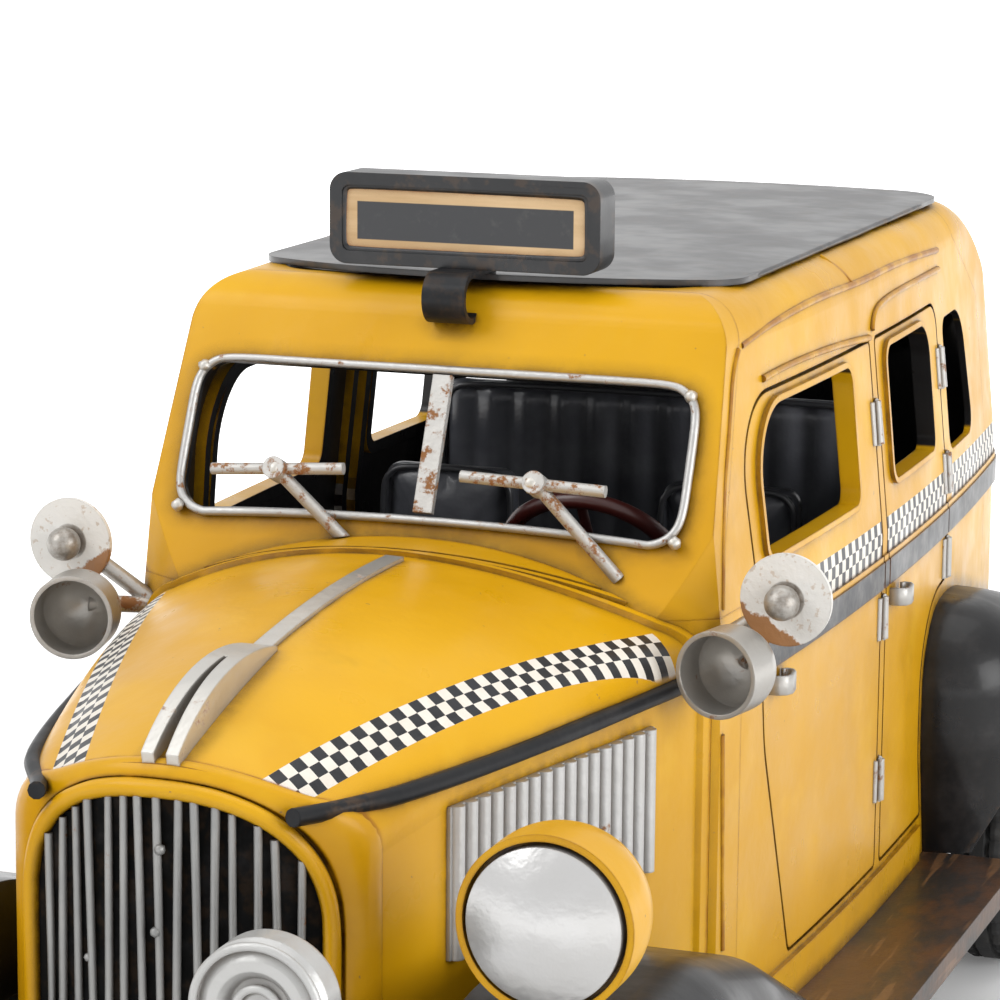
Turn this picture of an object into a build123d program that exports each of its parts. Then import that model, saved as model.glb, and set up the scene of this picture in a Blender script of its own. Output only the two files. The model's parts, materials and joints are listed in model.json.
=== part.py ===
from build123d import *
import math
import os

# Tin-plate display model of a 1930s taxi cab, jointed, in millimetres.
# +Z up, the cab's nose points along -Y, its own left side is +X.
# The floor is Z = 0 and the middle of the overall length is Y = 0.

os.makedirs("parts", exist_ok=True)

# ---------------------------------------------------------------- driving dimensions
sheet = 1.2               # folded tin of the body
trim_sheet = 0.9          # thinner tin: roof plate, vent plates, lamp bowls
door_gap = 0.6            # open seam round a door

# running gear
tyre_radius = 25.0
tyre_width = 11.0
rim_radius = 15.5
tyre_shoulder = 3.0
half_track = 57.0
front_axle_y = -121.0
rear_axle_y = 107.0
axle_radius = 1.5
axle_clearance = 0.07     # radial, wheel hub on its wire axle
hub_radius = 4.0
axle_head_radius = 2.6
axle_head_length = 1.2
end_play = 0.3            # wheel hub to what stands beside it
hub_half = 5.0
hub_cap_radius = 7.5
wheel_web = 2.4
wheel_rim = 2.0
hub_outer_x = half_track + hub_half
hub_inner_x = half_track - hub_half
collar_inner_x = 28.3     # collars between the rails and the hubs

# chassis
rail_x = 26.0
rail_width = 4.0
rail_low_z = 21.5
floor_z = 31.0
rail_front_y = -157.0
rail_rear_y = 156.0
cross_member_ys = (-153.0, -80.0, 12.0, 62.0, 152.0)
board_arm_ys = (-40.0, 12.0, 62.0)
board_arm_height = 3.0

# cabin, measured over the tin at belt height
body_low_z = 28.0
belt_z = 93.0
roof_z = 141.0
half_front = 46.4         # half widths over the sides
half_middle = 49.5
half_rear = 43.1
middle_y = 42.0
roof_tumble = 4.8         # each side leans in this much from belt to roof
tail_y = 164.5
tail_bow = 3.0
tail_corner = 26.0
tail_roof_radius = 56.0   # side view of the sloping tail
tail_roof_y = 112.0
roof_edge = 8.0
bow_front_y = -64.0       # the cowl seam bows forward
bow_side_y = -49.0
windshield_base_y = -50.0
windshield_base_z = 106.0
windshield_rake = 23.5    # degrees from upright
post_depth = 5.0          # folded depth of the windshield surround
cowl_split_y = -40.0
surround_low_z = 96.0
tail_split_y = 130.0

# bonnet sections: y, half width, shoulder x, shoulder z, crown z
hood_sections = [
    (-150.0, 20.9, 13.6, 85.8, 90.2),
    (-112.0, 30.4, 25.4, 92.6, 100.8),
    (-49.0, 44.8, 39.5, 95.0, 104.5),
]
shoulder_drop = 9.0
hood_low_z = 34.0
nose_y = -142.5
nose_bow_radius = 38.0
hood_strip_rear_y = -54.0
trim_front_y = -120.0
trim_rear_y = -68.0
trim_width = 2.8
trim_skew = 2.6           # the centre strip runs off to the left at its rear end
ornament_width = 5.2
ornament_slot = 1.8       # opening between its two blades at the tip
ornament_upper = [(-111.0, 101.6), (-122.0, 102.4), (-134.0, 99.6), (-142.8, 94.2)]
ornament_lower = [(-111.0, 99.4), (-122.0, 98.0), (-134.0, 95.0), (-142.3, 92.2)]
cowl_bead_proud = 0.7     # beads on the cowl seam, and the plate behind them
cowl_bead_width = 1.3
cowl_bead_rear = 1.5      # front edges of the rear bead and the plate, inside the cab's plan
cowl_plate_front = 3.6
cowl_plate_gap = 1.1      # to the windshield's plane
vent_front_y = -117.0
vent_rear_y = -66.0
vent_low_z = 62.5
vent_height = 21.0
vent_ribs = 17
vent_base = 0.6
vent_seat = 1.5

# belt strip with a bead over it, sill, bonnet strips
strip_low_z = 84.0
strip_high_z = 88.5
strip_proud = 0.6
bead_high_z = 89.5
bead_proud = 0.35
sill_high_z = 34.6
sill_front_y = -33.0
sill_rear_y = 67.5
sill_proud = 0.8
hood_strip_height = 2.6
hood_strip_front_z = 85.6
hood_strip_rear_z = 86.6
hood_strip_proud = 1.4

# grille
arch_half = 22.5
arch_shoulder_x = 15.6
arch_shoulder_z = 86.6
arch_crown_z = 92.0
arch_rim = 1.8
arch_depth = 2.5
grille_low_z = 35.0
bar_radius = 0.75
grille_backing_depth = 0.6
grille_gap = 0.1          # bars to the arch and to the backing
bar_seat = bar_radius + grille_gap / 2
bar_count = 15
centre_bar_width = 2.6

# door furniture
hinge_radius = 0.9
hinge_length = 8.0
hinge_leaf = 1.6
hinge_heights = {"front": (51.0, 79.0, 112.0), "rear": (79.5, 95.0, 114.0)}
handle_z = 81.4
handle_positions = {"front": -27.5, "rear": 41.5}
handle_length = 6.0
handle_height = 3.2
handle_stand = 3.0
handle_sheet = 0.8
door_frame = 1.4          # depth of the frame folded inside each door
door_frame_width = 2.2

# sign
sign_y = -35.0            # its front
sign_low_z = roof_z + 2.4
sign_width = 43.5
sign_height = 14.0
sign_depth = 7.0
sign_corner = 2.8
sign_rim = 2.0
sign_bezel_corner = 1.2
sign_middle_x = 0.6
scroll_width = 6.8
scroll_radius = 3.9
scroll_y = -38.2
scroll_turn = 230.0       # degrees of curl
sign_recess = 1.4

# doors and windows, side view corners (y, z, radius)
hinge_stand = 1.0         # hinge axis outside the tin at belt height
window_bead = 1.0         # rolled edge round each door window
front_door_outline = [
    (-15.5, 35.5, 2.0), (-29.5, 72.0, 30.0), (-36.4, 126.0, 13.0), (35.6, 126.0, 1.5), (35.6, 35.5, 1.5),
]
front_window_outline = [(-27.5, 101.0, 2.5), (-29.5, 123.5, 11.0), (21.0, 123.5, 3.0), (21.0, 101.0, 2.5)]
rear_door_outline = [
    (38.4, 35.5, 1.5), (38.4, 126.0, 1.5), (86.9, 126.0, 5.0), (86.9, 75.2, 0.0), (67.4, 73.6, 16.5),
    (67.4, 48.0, 25.0), (70.4, 35.5, 1.0),
]
rear_window_outline = [(44.0, 101.0, 2.5), (44.0, 123.5, 3.0), (76.0, 123.5, 6.0), (76.0, 101.0, 2.5)]
quarter_window_outline = [(92.0, 98.0, 3.0), (92.0, 122.0, 3.0), (111.5, 122.0, 9.0), (116.5, 98.0, 4.0)]
hinge_front_y = front_door_outline[-1][0] - door_gap / 2
hinge_rear_y = rear_door_outline[2][0] - door_gap / 2

# windshield, on its own plane: across, up the slope
windshield_half = 40.2
windshield_up = 24.6
windshield_arch = 1.4     # the lower edge bows up in the middle
windshield_corner = 5.0
wire_radius = 0.9
divider_width = 3.0
wiper_bar_radius = 0.9
wiper_arm_radius = 1.0
wiper_knob_radius = 1.7
# each wiper: its bar's two ends, its pivot and its arm's foot
wiper_places = [
    ((-32.0, -55.1, 114.0), (-10.9, -54.5, 115.3), (-21.5, -54.9, 114.5), (-9.9, -51.7, 102.2)),
    ((7.6, -54.2, 115.4), (30.1, -54.5, 114.7), (19.4, -54.4, 115.0), (31.4, -51.8, 101.3)),
]
rear_window_half = 17.0
rear_window_low_z = 104.0
rear_window_high_z = 119.0

# roof plate
roof_open_half = 34.5
roof_open_front_y = -27.0
roof_open_rear_y = 108.0
roof_plate_half = 39.5
roof_plate_front_y = -32.0
roof_plate_side_y = -19.0
roof_plate_rear_y = 117.0
roof_plate_crown = 0.6

# fenders and running boards
rear_fender_section = [(11.8, 22.0, 0), (17.6, 48.0, 25.0), (17.6, 71.5, 15.0), (0.0, 72.8, 0)]
rear_fender_tail_y = 139.0
rear_fender_fall = 14.0   # degrees the crown slopes down to the rear
fender_outer_x = 68.5
fender_inner_x = 40.0
fender_edge = 10.0
fender_skirt = 14.0
fender_path_radius = 30.0
front_fender_path = [(-162, 37), (-158, 54), (-140, 64.5), (-112, 65), (-86, 57.5), (-56, 43), (-34, 24)]
wheel_opening = 31.0      # round the rear wheel
board_thick = 1.5
board_inner_x = 42.0
board_outer_x = 67.0
board_front_y = -58.0
board_rear_y = 74.0
board_lip = 4.0
apron_z = 46.0
apron_inner_x = 22.0
apron_front_y = -150.0
apron_rear_y = -66.0

# bumpers, lamps, mirrors
bumper_y = 168.0
bumper_half = 62.0
bumper_low_z = 25.0
bumper_high_z = 33.0
bumper_thick = 1.6
bumper_bow = 5.0
lamp_x = 53.5
lamp_y = -146.0
lamp_z = 79.0
lamp_radius = 11.5
lamp_depth = 17.0
lens_radius = 10.0
lens_bulge = 3.4
lamp_post_radius = 1.8
lamp_post_low_z = 60.0
lamp_post_back = 7.0
lamp_bracket_root = (43.5, -50.0, 91.0)
lamp_bracket_radius = 1.3
horn_x = 21.7
horn_y = -162.0
horn_z = 68.7
horn_radius = 9.0
horn_depth = 12.0
cup_x = 50.5
cup_y = -66.0
cup_z = 91.7
cup_radius = 6.4
cup_depth = 11.0
cup_toe_in = 12.0         # degrees
cup_wall = 0.7
disc_x = 57.0
disc_y = -53.0
disc_z = 100.5
disc_radius = 6.8
disc_thick = 0.9
knob_radius = 2.6
tail_lamp_x = 30.0
tail_lamp_z = 62.0
tail_lamp_radius = 4.0

# inside
seat_x = 25.0
seat_width = 25.0
seat_back_y = 33.0
seat_back_z = 101.6
seat_thick = 8.0
seat_cushion_z = 58.0
seat_depth = 30.0
bench_back_y = 64.0
bench_half = 42.0
bench_top_z = 110.5
bench_corner = 8.0
bench_cushion_z = 62.0
bench_thick = 8.0
bench_depth = 32.0
steering_x = 20.0
steering_y = -28.0
steering_z = 98.0
steering_radius = 14.0
steering_rim = 1.3
steering_tilt = 35.0      # degrees from upright

far = 90.0                # reach of cutting shapes across the car
rake = math.tan(math.radians(windshield_rake))


def windshield_y(z, back=0.0):
    """Y of the windshield plane at height z, moved back by a depth square to it."""
    return windshield_base_y + rake * (z - windshield_base_z) + back / math.cos(math.radians(windshield_rake))


def cabin_plan(inset, narrow, height):
    """Plan of the cabin: bowed front, curved sides, rounded tail."""
    front = half_front - narrow - inset
    middle = half_middle - narrow - inset
    rear = half_rear - narrow - inset
    side_y = bow_side_y + inset
    back_y = tail_y - inset
    with BuildSketch(Plane.XY.offset(height)) as outline:
        with BuildLine():
            ThreePointArc((-front, side_y), (0, bow_front_y + inset), (front, side_y))
            ThreePointArc((front, side_y), (middle, middle_y), (rear, back_y - tail_bow))
            ThreePointArc((rear, back_y - tail_bow), (0, back_y), (-rear, back_y - tail_bow))
            ThreePointArc((-rear, back_y - tail_bow), (-middle, middle_y), (-front, side_y))
        make_face()
        fillet(outline.vertices().group_by(Axis.Y)[-1], tail_corner - inset)
    return outline.sketch


def bonnet_outline(half, shoulder_x, shoulder_z, crown_z, low, plane, inset=0.0):
    """Cross section shared by the bonnet and the cowl: crowned top, rounded shoulders."""
    half -= inset
    shoulder_x -= inset
    shoulder_z -= inset
    crown_z -= inset
    wall_z = shoulder_z - shoulder_drop
    bend_x = shoulder_x + 0.72 * (half - shoulder_x)
    bend_z = wall_z + 0.7 * shoulder_drop
    with BuildSketch(plane) as outline:
        with BuildLine():
            ThreePointArc((-shoulder_x, shoulder_z), (0, crown_z), (shoulder_x, shoulder_z))
            ThreePointArc((shoulder_x, shoulder_z), (bend_x, bend_z), (half, wall_z))
            Polyline((half, wall_z), (half, low), (-half, low), (-half, wall_z))
            ThreePointArc((-half, wall_z), (-bend_x, bend_z), (-shoulder_x, shoulder_z))
        make_face()
    return outline.sketch


def side_zone(points):
    """A prism right across the car whose side view is the polygon of (y, z) points."""
    with BuildPart() as zone:
        with BuildSketch(Plane.YZ):
            with BuildLine():
                Polyline(*points, close=True)
            make_face()
        extrude(amount=far, both=True)
    return zone.part


def roof_edges(form):
    """The edges round the roof and the sloping tail."""
    top = form.faces().filter_by(Axis.Z).sort_by(Axis.Z)[-1]
    tails = form.faces().filter_by(GeomType.CYLINDER).filter_by(
        lambda face: face.bounding_box().max.Y > tail_roof_y + 20
        and face.bounding_box().max.Z > roof_z - 5
    )
    return (top.edges() + tails[0].edges()).filter_by(lambda edge: abs(edge.center().Y - tail_roof_y) > 1)


def cabin_form(inset, low):
    """The whole cabin and cowl as a closed form, its skin moved in by the inset."""
    top_z = roof_z - inset
    _, hood_half, hood_sx, hood_sz, hood_crown = hood_sections[-1]
    with BuildPart() as front_cut:
        with BuildSketch(Plane.YZ):
            with BuildLine():
                cut_low = hood_sz - 2 * shoulder_drop
                Polyline(
                    (-far, cut_low),
                    (windshield_y(cut_low, inset), cut_low),
                    (windshield_y(roof_z + far, inset), roof_z + far),
                    (-far, roof_z + far),
                    close=True,
                )
            make_face()
        extrude(amount=far, both=True)
        cowl_plane = Plane.XZ.offset(-far)
        under = bonnet_outline(hood_half + 0.6, hood_sx, hood_sz, hood_crown, 0, cowl_plane, inset)
        extrude(under, amount=2 * far + 10, mode=Mode.SUBTRACT)
    with BuildPart() as form:
        add(cabin_plan(inset, 0, low))
        extrude(amount=belt_z - low)
        add(cabin_plan(inset, 0, belt_z))
        add(cabin_plan(inset, roof_tumble, top_z))
        loft(ruled=True)
        with BuildSketch(Plane.YZ):
            with BuildLine():
                radius = tail_roof_radius - inset
                arc_z = roof_z - tail_roof_radius
                Line((-far, low - 1), (-far, top_z))
                Line((-far, top_z), (tail_roof_y, top_z))
                CenterArc((tail_roof_y, arc_z), radius, 0, 90)
                Line((tail_roof_y + radius, arc_z), (tail_roof_y + radius, low - 1))
                Line((tail_roof_y + radius, low - 1), (-far, low - 1))
            make_face()
        extrude(amount=far, both=True, mode=Mode.INTERSECT)
        add(front_cut.part, mode=Mode.SUBTRACT)
        fillet(roof_edges(form), roof_edge - inset)
    return form.part


def bonnet_form(inset):
    """The bonnet as a closed form, from in front of the grille back to the cowl's sides."""
    with BuildPart() as form:
        for y, half, shoulder_x, shoulder_z, crown_z in hood_sections:
            plane = Plane.XZ.offset(-y)
            low = hood_low_z - 5 if inset > 0 else hood_low_z
            add(bonnet_outline(half, shoulder_x, shoulder_z, crown_z, low, plane, inset))
        loft()
    return form.part


def bow_block(front_y, radius):
    """A block behind a bowed front: a wide cylinder's nose, extended rearwards."""
    with BuildPart() as block:
        with BuildSketch(Plane.XY):
            with Locations((0, front_y + radius)):
                Circle(radius)
            with Locations((0, front_y + radius + 2 * far)):
                Rectangle(2 * far, 4 * far)
        extrude(amount=2 * far)
    return block.part


def rounded_polygon(points, plane, depth, grow=0.0):
    """A prism of a polygon whose corners carry their own radii: (u, v, radius)."""
    with BuildPart() as prism:
        with BuildSketch(plane) as outline:
            with BuildLine():
                Polyline(*[(u, v) for u, v, _ in points], close=True)
            make_face()
            for u, v, radius in points:
                if radius:
                    corner = outline.vertices().sort_by_distance((u, v, 0))[0]
                    fillet(corner, radius)
            if grow:
                offset(amount=grow)
        extrude(amount=depth)
    return prism.part


def rod(start, end, radius):
    """A round bar between two points."""
    direction = Vector(*end) - Vector(*start)
    with BuildPart() as bar:
        with BuildSketch(Plane(origin=start, z_dir=direction)):
            Circle(radius)
        extrude(amount=direction.length)
    return bar.part


def side_x(y):
    """Half width of the tin at belt height, on the arc through front, middle and rear."""
    front = Vector(half_front, bow_side_y)
    middle = Vector(half_middle, middle_y)
    rear = Vector(half_rear, tail_y - tail_bow)
    across = 2 * (
        front.X * (middle.Y - rear.Y) + middle.X * (rear.Y - front.Y) + rear.X * (front.Y - middle.Y)
    )
    squares = [point.X**2 + point.Y**2 for point in (front, middle, rear)]
    centre_x = (
        squares[0] * (middle.Y - rear.Y) + squares[1] * (rear.Y - front.Y) + squares[2] * (front.Y - middle.Y)
    ) / across
    centre_y = (
        squares[0] * (rear.X - middle.X) + squares[1] * (front.X - rear.X) + squares[2] * (middle.X - front.X)
    ) / across
    radius = math.hypot(front.X - centre_x, front.Y - centre_y)
    return centre_x + math.sqrt(radius**2 - (y - centre_y) ** 2)


def pontoon_section(inset):
    """Half the pontoon's cross section, from the axis outwards, heights as heights."""
    foot, shoulder_low, shoulder_high, crown = rear_fender_section
    points = [
        (0, foot[1], 0),
        (foot[0] - inset, foot[1], 0),
        (shoulder_low[0] - inset, shoulder_low[1], shoulder_low[2]),
        (shoulder_high[0] - inset, shoulder_high[1] - inset, shoulder_high[2]),
        (0, crown[1] - inset, 0),
    ]
    with BuildSketch() as section:
        with BuildLine():
            Polyline(*[(u, v) for u, v, _ in points], close=True)
        make_face()
        for u, v, radius in points:
            if radius:
                fillet(section.vertices().sort_by_distance((u, v, 0))[0], radius)
    return section.sketch


def pontoon(inset):
    """The rear fender as a closed form on the car's left: a rounded nose turned about the
    rear door's hinge line, a crown that bends down and falls to the rear, a rounded tail."""
    section = pontoon_section(inset)
    inboard = fender_hinge_x - fender_inner_x
    low = rear_fender_section[0][1]
    high = rear_fender_section[-1][1] - inset
    fall = math.radians(rear_fender_fall)
    across = Vector(1, 0, 0)
    along = Vector(0, math.cos(fall), -math.sin(fall))
    start = Vector(fender_hinge_x, hinge_rear_y, 0)
    crown_bend = rear_fender_section[-1][1] * math.sin(fall)
    end = start + along * ((rear_fender_tail_y - hinge_rear_y - crown_bend) / math.cos(fall))
    with BuildSketch() as full_section:
        add(section)
        with Locations((-inboard / 2, (low + high) / 2)):
            Rectangle(inboard, high - low)
    with BuildPart() as form:
        with BuildSketch(Plane(origin=start, x_dir=across, z_dir=(0, -1, 0))):
            add(full_section.sketch)
        revolve(axis=Axis(start, across), revolution_arc=-rear_fender_fall)
        with BuildSketch(Plane(origin=start, x_dir=across, z_dir=-along)):
            add(full_section.sketch)
        extrude(amount=-(end - start).length)
        for centre, direction, turn in ((start, Vector(0, 1, 0), -90), (end, along, 90)):
            upright = across.cross(direction)
            heading = direction * (turn / 90)
            with BuildSketch(Plane(origin=centre, x_dir=across, z_dir=-direction)):
                add(section)
            revolve(axis=Axis(centre, upright), revolution_arc=turn)
            with BuildSketch(Plane(origin=centre, x_dir=heading, z_dir=heading.cross(upright))):
                add(section)
            extrude(amount=-inboard * turn / 90)
    return form.part


def cab_band(low, high, proud):
    """A band standing proud all round the cab between two heights at or under the belt."""
    with BuildPart() as band:
        add(cabin_plan(-proud, 0, low))
        extrude(amount=high - low)
        add(cabin_plan(0, 0, low))
        extrude(amount=high - low, mode=Mode.SUBTRACT)
    return band.part


def save(builder, name):
    """Label a finished piece and write its file."""
    builder.part.label = name
    export_step(builder.part, f"parts/{name}.step")


# ---------------------------------------------------------------- cab panels
fender_hinge_x = side_x(hinge_rear_y) + hinge_stand
outer = cabin_form(0, body_low_z)
inner = cabin_form(sheet, body_low_z - 5)
side_plane = Plane.YZ.offset(25)

with BuildPart() as side_openings:
    for outline in (front_door_outline, rear_door_outline, quarter_window_outline):
        add(rounded_polygon(outline, side_plane, far))
    mirror(about=Plane.YZ)

slope = math.radians(windshield_rake)
windshield_plane = Plane(
    origin=(0, windshield_base_y, windshield_base_z),
    x_dir=(1, 0, 0),
    z_dir=(0, -math.cos(slope), math.sin(slope)),
)


def windshield_outline(grow):
    """The windshield's outline on its own plane, lower edge bowed up."""
    half = windshield_half + grow
    with BuildSketch(windshield_plane) as outline:
        with BuildLine():
            ThreePointArc((-half, -grow), (0, windshield_arch - grow), (half, -grow))
            Polyline(
                (half, -grow),
                (half, windshield_up + grow),
                (-half, windshield_up + grow),
                (-half, -grow),
            )
        make_face()
        fillet(outline.vertices(), windshield_corner + grow)
    return outline.sketch


with BuildPart() as shell:
    add(outer)
    add(inner, mode=Mode.SUBTRACT)
    add(side_openings.part, mode=Mode.SUBTRACT)
    extrude(windshield_outline(-0.5 * wire_radius), amount=10, both=True, mode=Mode.SUBTRACT)
    with BuildSketch(Plane.XY.offset(roof_z - 2 * sheet)):
        with Locations((0, (roof_open_front_y + roof_open_rear_y) / 2)):
            RectangleRounded(2 * roof_open_half, roof_open_rear_y - roof_open_front_y, 8)
    extrude(amount=4 * sheet, mode=Mode.SUBTRACT)
    with BuildSketch(Plane.XZ.offset(-roof_plate_rear_y)):
        with Locations((0, (rear_window_low_z + rear_window_high_z) / 2)):
            RectangleRounded(2 * rear_window_half, rear_window_high_z - rear_window_low_z, 5)
    extrude(amount=-far, mode=Mode.SUBTRACT)
    for side in (-1, 1):
        with BuildSketch(Plane.XY.offset(body_low_z - 1)):
            with Locations((side * rail_x, windshield_base_y)):
                Rectangle(rail_width + 2 * door_gap, 40)
        extrude(amount=floor_z - body_low_z + 1, mode=Mode.SUBTRACT)

above = roof_z + far
surround_zone = side_zone([
    (windshield_y(surround_low_z, -2), surround_low_z),
    (windshield_y(surround_low_z, post_depth), surround_low_z),
    (windshield_y(above, post_depth), above),
    (windshield_y(above, -2), above),
])
cowl_zone = side_zone([
    (-far, 0),
    (cowl_split_y, 0),
    (cowl_split_y, surround_low_z),
    (windshield_y(surround_low_z, -2), surround_low_z),
    (windshield_y(above, -2), above),
    (-far, above),
])
tail_zone = side_zone([
    (tail_split_y, 0),
    (tail_split_y, 122),
    (roof_open_rear_y, 135),
    (roof_open_rear_y, above),
    (2 * far, above),
    (2 * far, 0),
])

bonnet = bonnet_form(0)
cab_skin = cabin_form(-cowl_bead_proud, body_low_z)
with BuildPart() as belt_bands:
    add(cab_band(strip_low_z, strip_high_z, strip_proud))
    add(cab_band(strip_high_z, bead_high_z, bead_proud))
with BuildPart() as sills:
    add(cab_band(body_low_z, sill_high_z, sill_proud))
    add(side_zone([(sill_front_y, 0), (sill_rear_y, 0), (sill_rear_y, belt_z), (sill_front_y, belt_z)]),
        mode=Mode.INTERSECT)
with BuildPart() as bands:
    add(belt_bands.part)
    add(side_openings.part, mode=Mode.SUBTRACT)
    add(bonnet_form(-hood_strip_proud), mode=Mode.SUBTRACT)
    add(sills.part)
with BuildPart() as trimmed_shell:
    add(shell.part)
    add(bands.part)

# the cowl's top plate and its rear bead, proud of the tin in front of the windshield
scuttle_zone = side_zone([
    (-far, surround_low_z),
    (windshield_y(surround_low_z, -cowl_plate_gap), surround_low_z),
    (windshield_y(windshield_base_z, -cowl_plate_gap), windshield_base_z),
    (-far, windshield_base_z),
])


def scuttle_band(front, rear=None):
    """Raised band of the cowl's top, from one inset of the cab's plan to another."""
    with BuildPart() as band:
        add(cabin_plan(front, 0, surround_low_z))
        extrude(amount=far)
        if rear:
            add(cabin_plan(rear, 0, surround_low_z))
            extrude(amount=far, mode=Mode.SUBTRACT)
        add(cab_skin, mode=Mode.INTERSECT)
        add(scuttle_zone, mode=Mode.INTERSECT)
        add(outer, mode=Mode.SUBTRACT)
    return band.part


with BuildPart() as cowl:
    add(trimmed_shell.part)
    add(cowl_zone, mode=Mode.INTERSECT)
    add(scuttle_band(cowl_bead_rear, cowl_bead_rear + cowl_bead_width))
    add(scuttle_band(cowl_plate_front))
save(cowl, "cowl")

with BuildPart() as windshield_surround:
    add(trimmed_shell.part)
    add(surround_zone, mode=Mode.INTERSECT)
save(windshield_surround, "windshield_surround")

with BuildPart() as rear_panel:
    add(trimmed_shell.part)
    add(tail_zone, mode=Mode.INTERSECT)
save(rear_panel, "rear_panel")

with BuildPart() as side_walls:
    add(trimmed_shell.part)
    add(cowl_zone, mode=Mode.SUBTRACT)
    add(surround_zone, mode=Mode.SUBTRACT)
    add(tail_zone, mode=Mode.SUBTRACT)

for side, name in ((1, "side_left"), (-1, "side_right")):
    with BuildPart() as side_panel:
        add(side_walls.part)
        split(bisect_by=Plane.YZ, keep=Keep.TOP if side > 0 else Keep.BOTTOM)
    save(side_panel, name)

with BuildPart() as floor_pan:
    add(cabin_plan(sheet, 0, floor_z))
    extrude(amount=sheet)
save(floor_pan, "floor_pan")

with BuildPart() as roof_panel:
    with BuildSketch(Plane.XY.offset(roof_z)) as plate:
        with BuildLine():
            half = roof_plate_half
            ThreePointArc((-half, roof_plate_side_y), (0, roof_plate_front_y), (half, roof_plate_side_y))
            Polyline(
                (half, roof_plate_side_y),
                (half, roof_plate_rear_y),
                (-half, roof_plate_rear_y),
                (-half, roof_plate_side_y),
            )
        make_face()
        fillet(plate.vertices(), 9)
    extrude(amount=trim_sheet + roof_plate_crown)
    crown_radius = roof_plate_half**2 / (2 * roof_plate_crown)
    for drop, keep in ((0.0, Mode.INTERSECT), (trim_sheet, Mode.SUBTRACT)):
        reach = far if keep is Mode.INTERSECT else roof_open_half
        with BuildSketch(Plane.XZ.offset(far)):
            with BuildLine():
                top_z = roof_z + trim_sheet + roof_plate_crown - drop
                edge_z = top_z - (crown_radius - math.sqrt(crown_radius**2 - reach**2))
                low = roof_z - far
                ThreePointArc((-reach, edge_z), (0, top_z), (reach, edge_z))
                Polyline((reach, edge_z), (reach, low), (-reach, low), (-reach, edge_z))
            make_face()
        extrude(amount=-4 * far, mode=keep)
save(roof_panel, "roof_panel")

# ---------------------------------------------------------------- doors


lining = cabin_form(sheet + door_frame, body_low_z - 5)
doors = (
    ("front", front_door_outline, front_window_outline, hinge_front_y),
    ("rear", rear_door_outline, rear_window_outline, hinge_rear_y),
)
for row, outline, window, hinge_y in doors:
    hinge_x = side_x(hinge_y) + hinge_stand
    with BuildPart() as door:
        add(outer)
        add(lining, mode=Mode.SUBTRACT)
        add(rounded_polygon(outline, side_plane, far, grow=-door_gap), mode=Mode.INTERSECT)
        add(rounded_polygon(window, side_plane, far), mode=Mode.SUBTRACT)
    with BuildPart() as beads:
        add(cab_skin)
        add(rounded_polygon(window, side_plane, far, grow=window_bead), mode=Mode.INTERSECT)
        add(rounded_polygon(window, side_plane, far), mode=Mode.SUBTRACT)
        add(outer, mode=Mode.SUBTRACT)
    with BuildPart() as strips:
        add(belt_bands.part)
        add(rounded_polygon(outline, side_plane, far, grow=-door_gap), mode=Mode.INTERSECT)
    with BuildPart() as pocket:
        add(inner)
        add(rounded_polygon(outline, side_plane, far, grow=-door_gap - door_frame_width), mode=Mode.INTERSECT)
        add(rounded_polygon(window, side_plane, far, grow=door_frame_width), mode=Mode.SUBTRACT)
    with BuildPart() as door_panel:
        add(door.part)
        add(pocket.part, mode=Mode.SUBTRACT)
        add(beads.part)
        add(strips.part)
    with BuildPart() as hardware:
        for z in hinge_heights[row]:
            with BuildSketch(Plane.XY.offset(z - hinge_length / 2)):
                with Locations((hinge_x, hinge_y)):
                    Circle(hinge_radius)
                with Locations((hinge_x - hinge_leaf / 2, hinge_y - hinge_leaf / 2 - 0.2)):
                    Rectangle(hinge_leaf + hinge_stand, hinge_leaf)
            extrude(amount=hinge_length)
        handle_y = handle_positions[row]
        for end in (0, handle_length):
            with BuildSketch(Plane.XY.offset(handle_z - handle_height / 2)):
                with Locations((side_x(handle_y + end) + handle_stand / 2, handle_y + end)):
                    Rectangle(handle_stand + sheet, handle_sheet)
            extrude(amount=handle_height)
        with BuildSketch(Plane.XY.offset(handle_z - handle_height / 2)):
            with Locations((side_x(handle_y) + handle_stand, handle_y + handle_length / 2)):
                Rectangle(handle_sheet, handle_length + handle_sheet)
        extrude(amount=handle_height)
        add(outer, mode=Mode.SUBTRACT)
        add(door_panel.part, mode=Mode.SUBTRACT)
    for side, hand in ((1, "left"), (-1, "right")):
        for piece, kind in ((door_panel, "door"), (hardware, "door_hardware")):
            with BuildPart() as handed:
                add(piece.part if side > 0 else piece.part.mirror(Plane.YZ))
            save(handed, f"{kind}_{row}_{hand}")

# fixed hinge leaves on the posts
with BuildPart() as hinge_leaves:
    for row, outline, window, hinge_y in doors:
        hinge_x = side_x(hinge_y) + hinge_stand
        for z in hinge_heights[row]:
            with BuildSketch(Plane.XY.offset(z - hinge_length / 2)):
                leaf_y = hinge_y + hinge_radius + end_play + hinge_leaf / 2
                with Locations((hinge_x - hinge_stand - 0.5, leaf_y)):
                    Rectangle(2 * hinge_stand + 1, hinge_leaf)
            extrude(amount=hinge_length)
    mirror(about=Plane.YZ)
    add(outer, mode=Mode.SUBTRACT)
    add(bands.part, mode=Mode.SUBTRACT)
save(hinge_leaves, "hinge_leaves")

# ---------------------------------------------------------------- windshield wire, divider, wipers
with BuildPart() as windshield_frame:
    loop = windshield_outline(0).faces()[0].outer_wire().moved(Location(windshield_plane.z_dir * wire_radius))
    with BuildSketch(Plane(origin=loop @ 0, z_dir=loop % 0)) as wire_section:
        Circle(wire_radius)
    sweep(sections=wire_section.sketch, path=loop, transition=Transition.ROUND)
save(windshield_frame, "windshield_frame")

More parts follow.
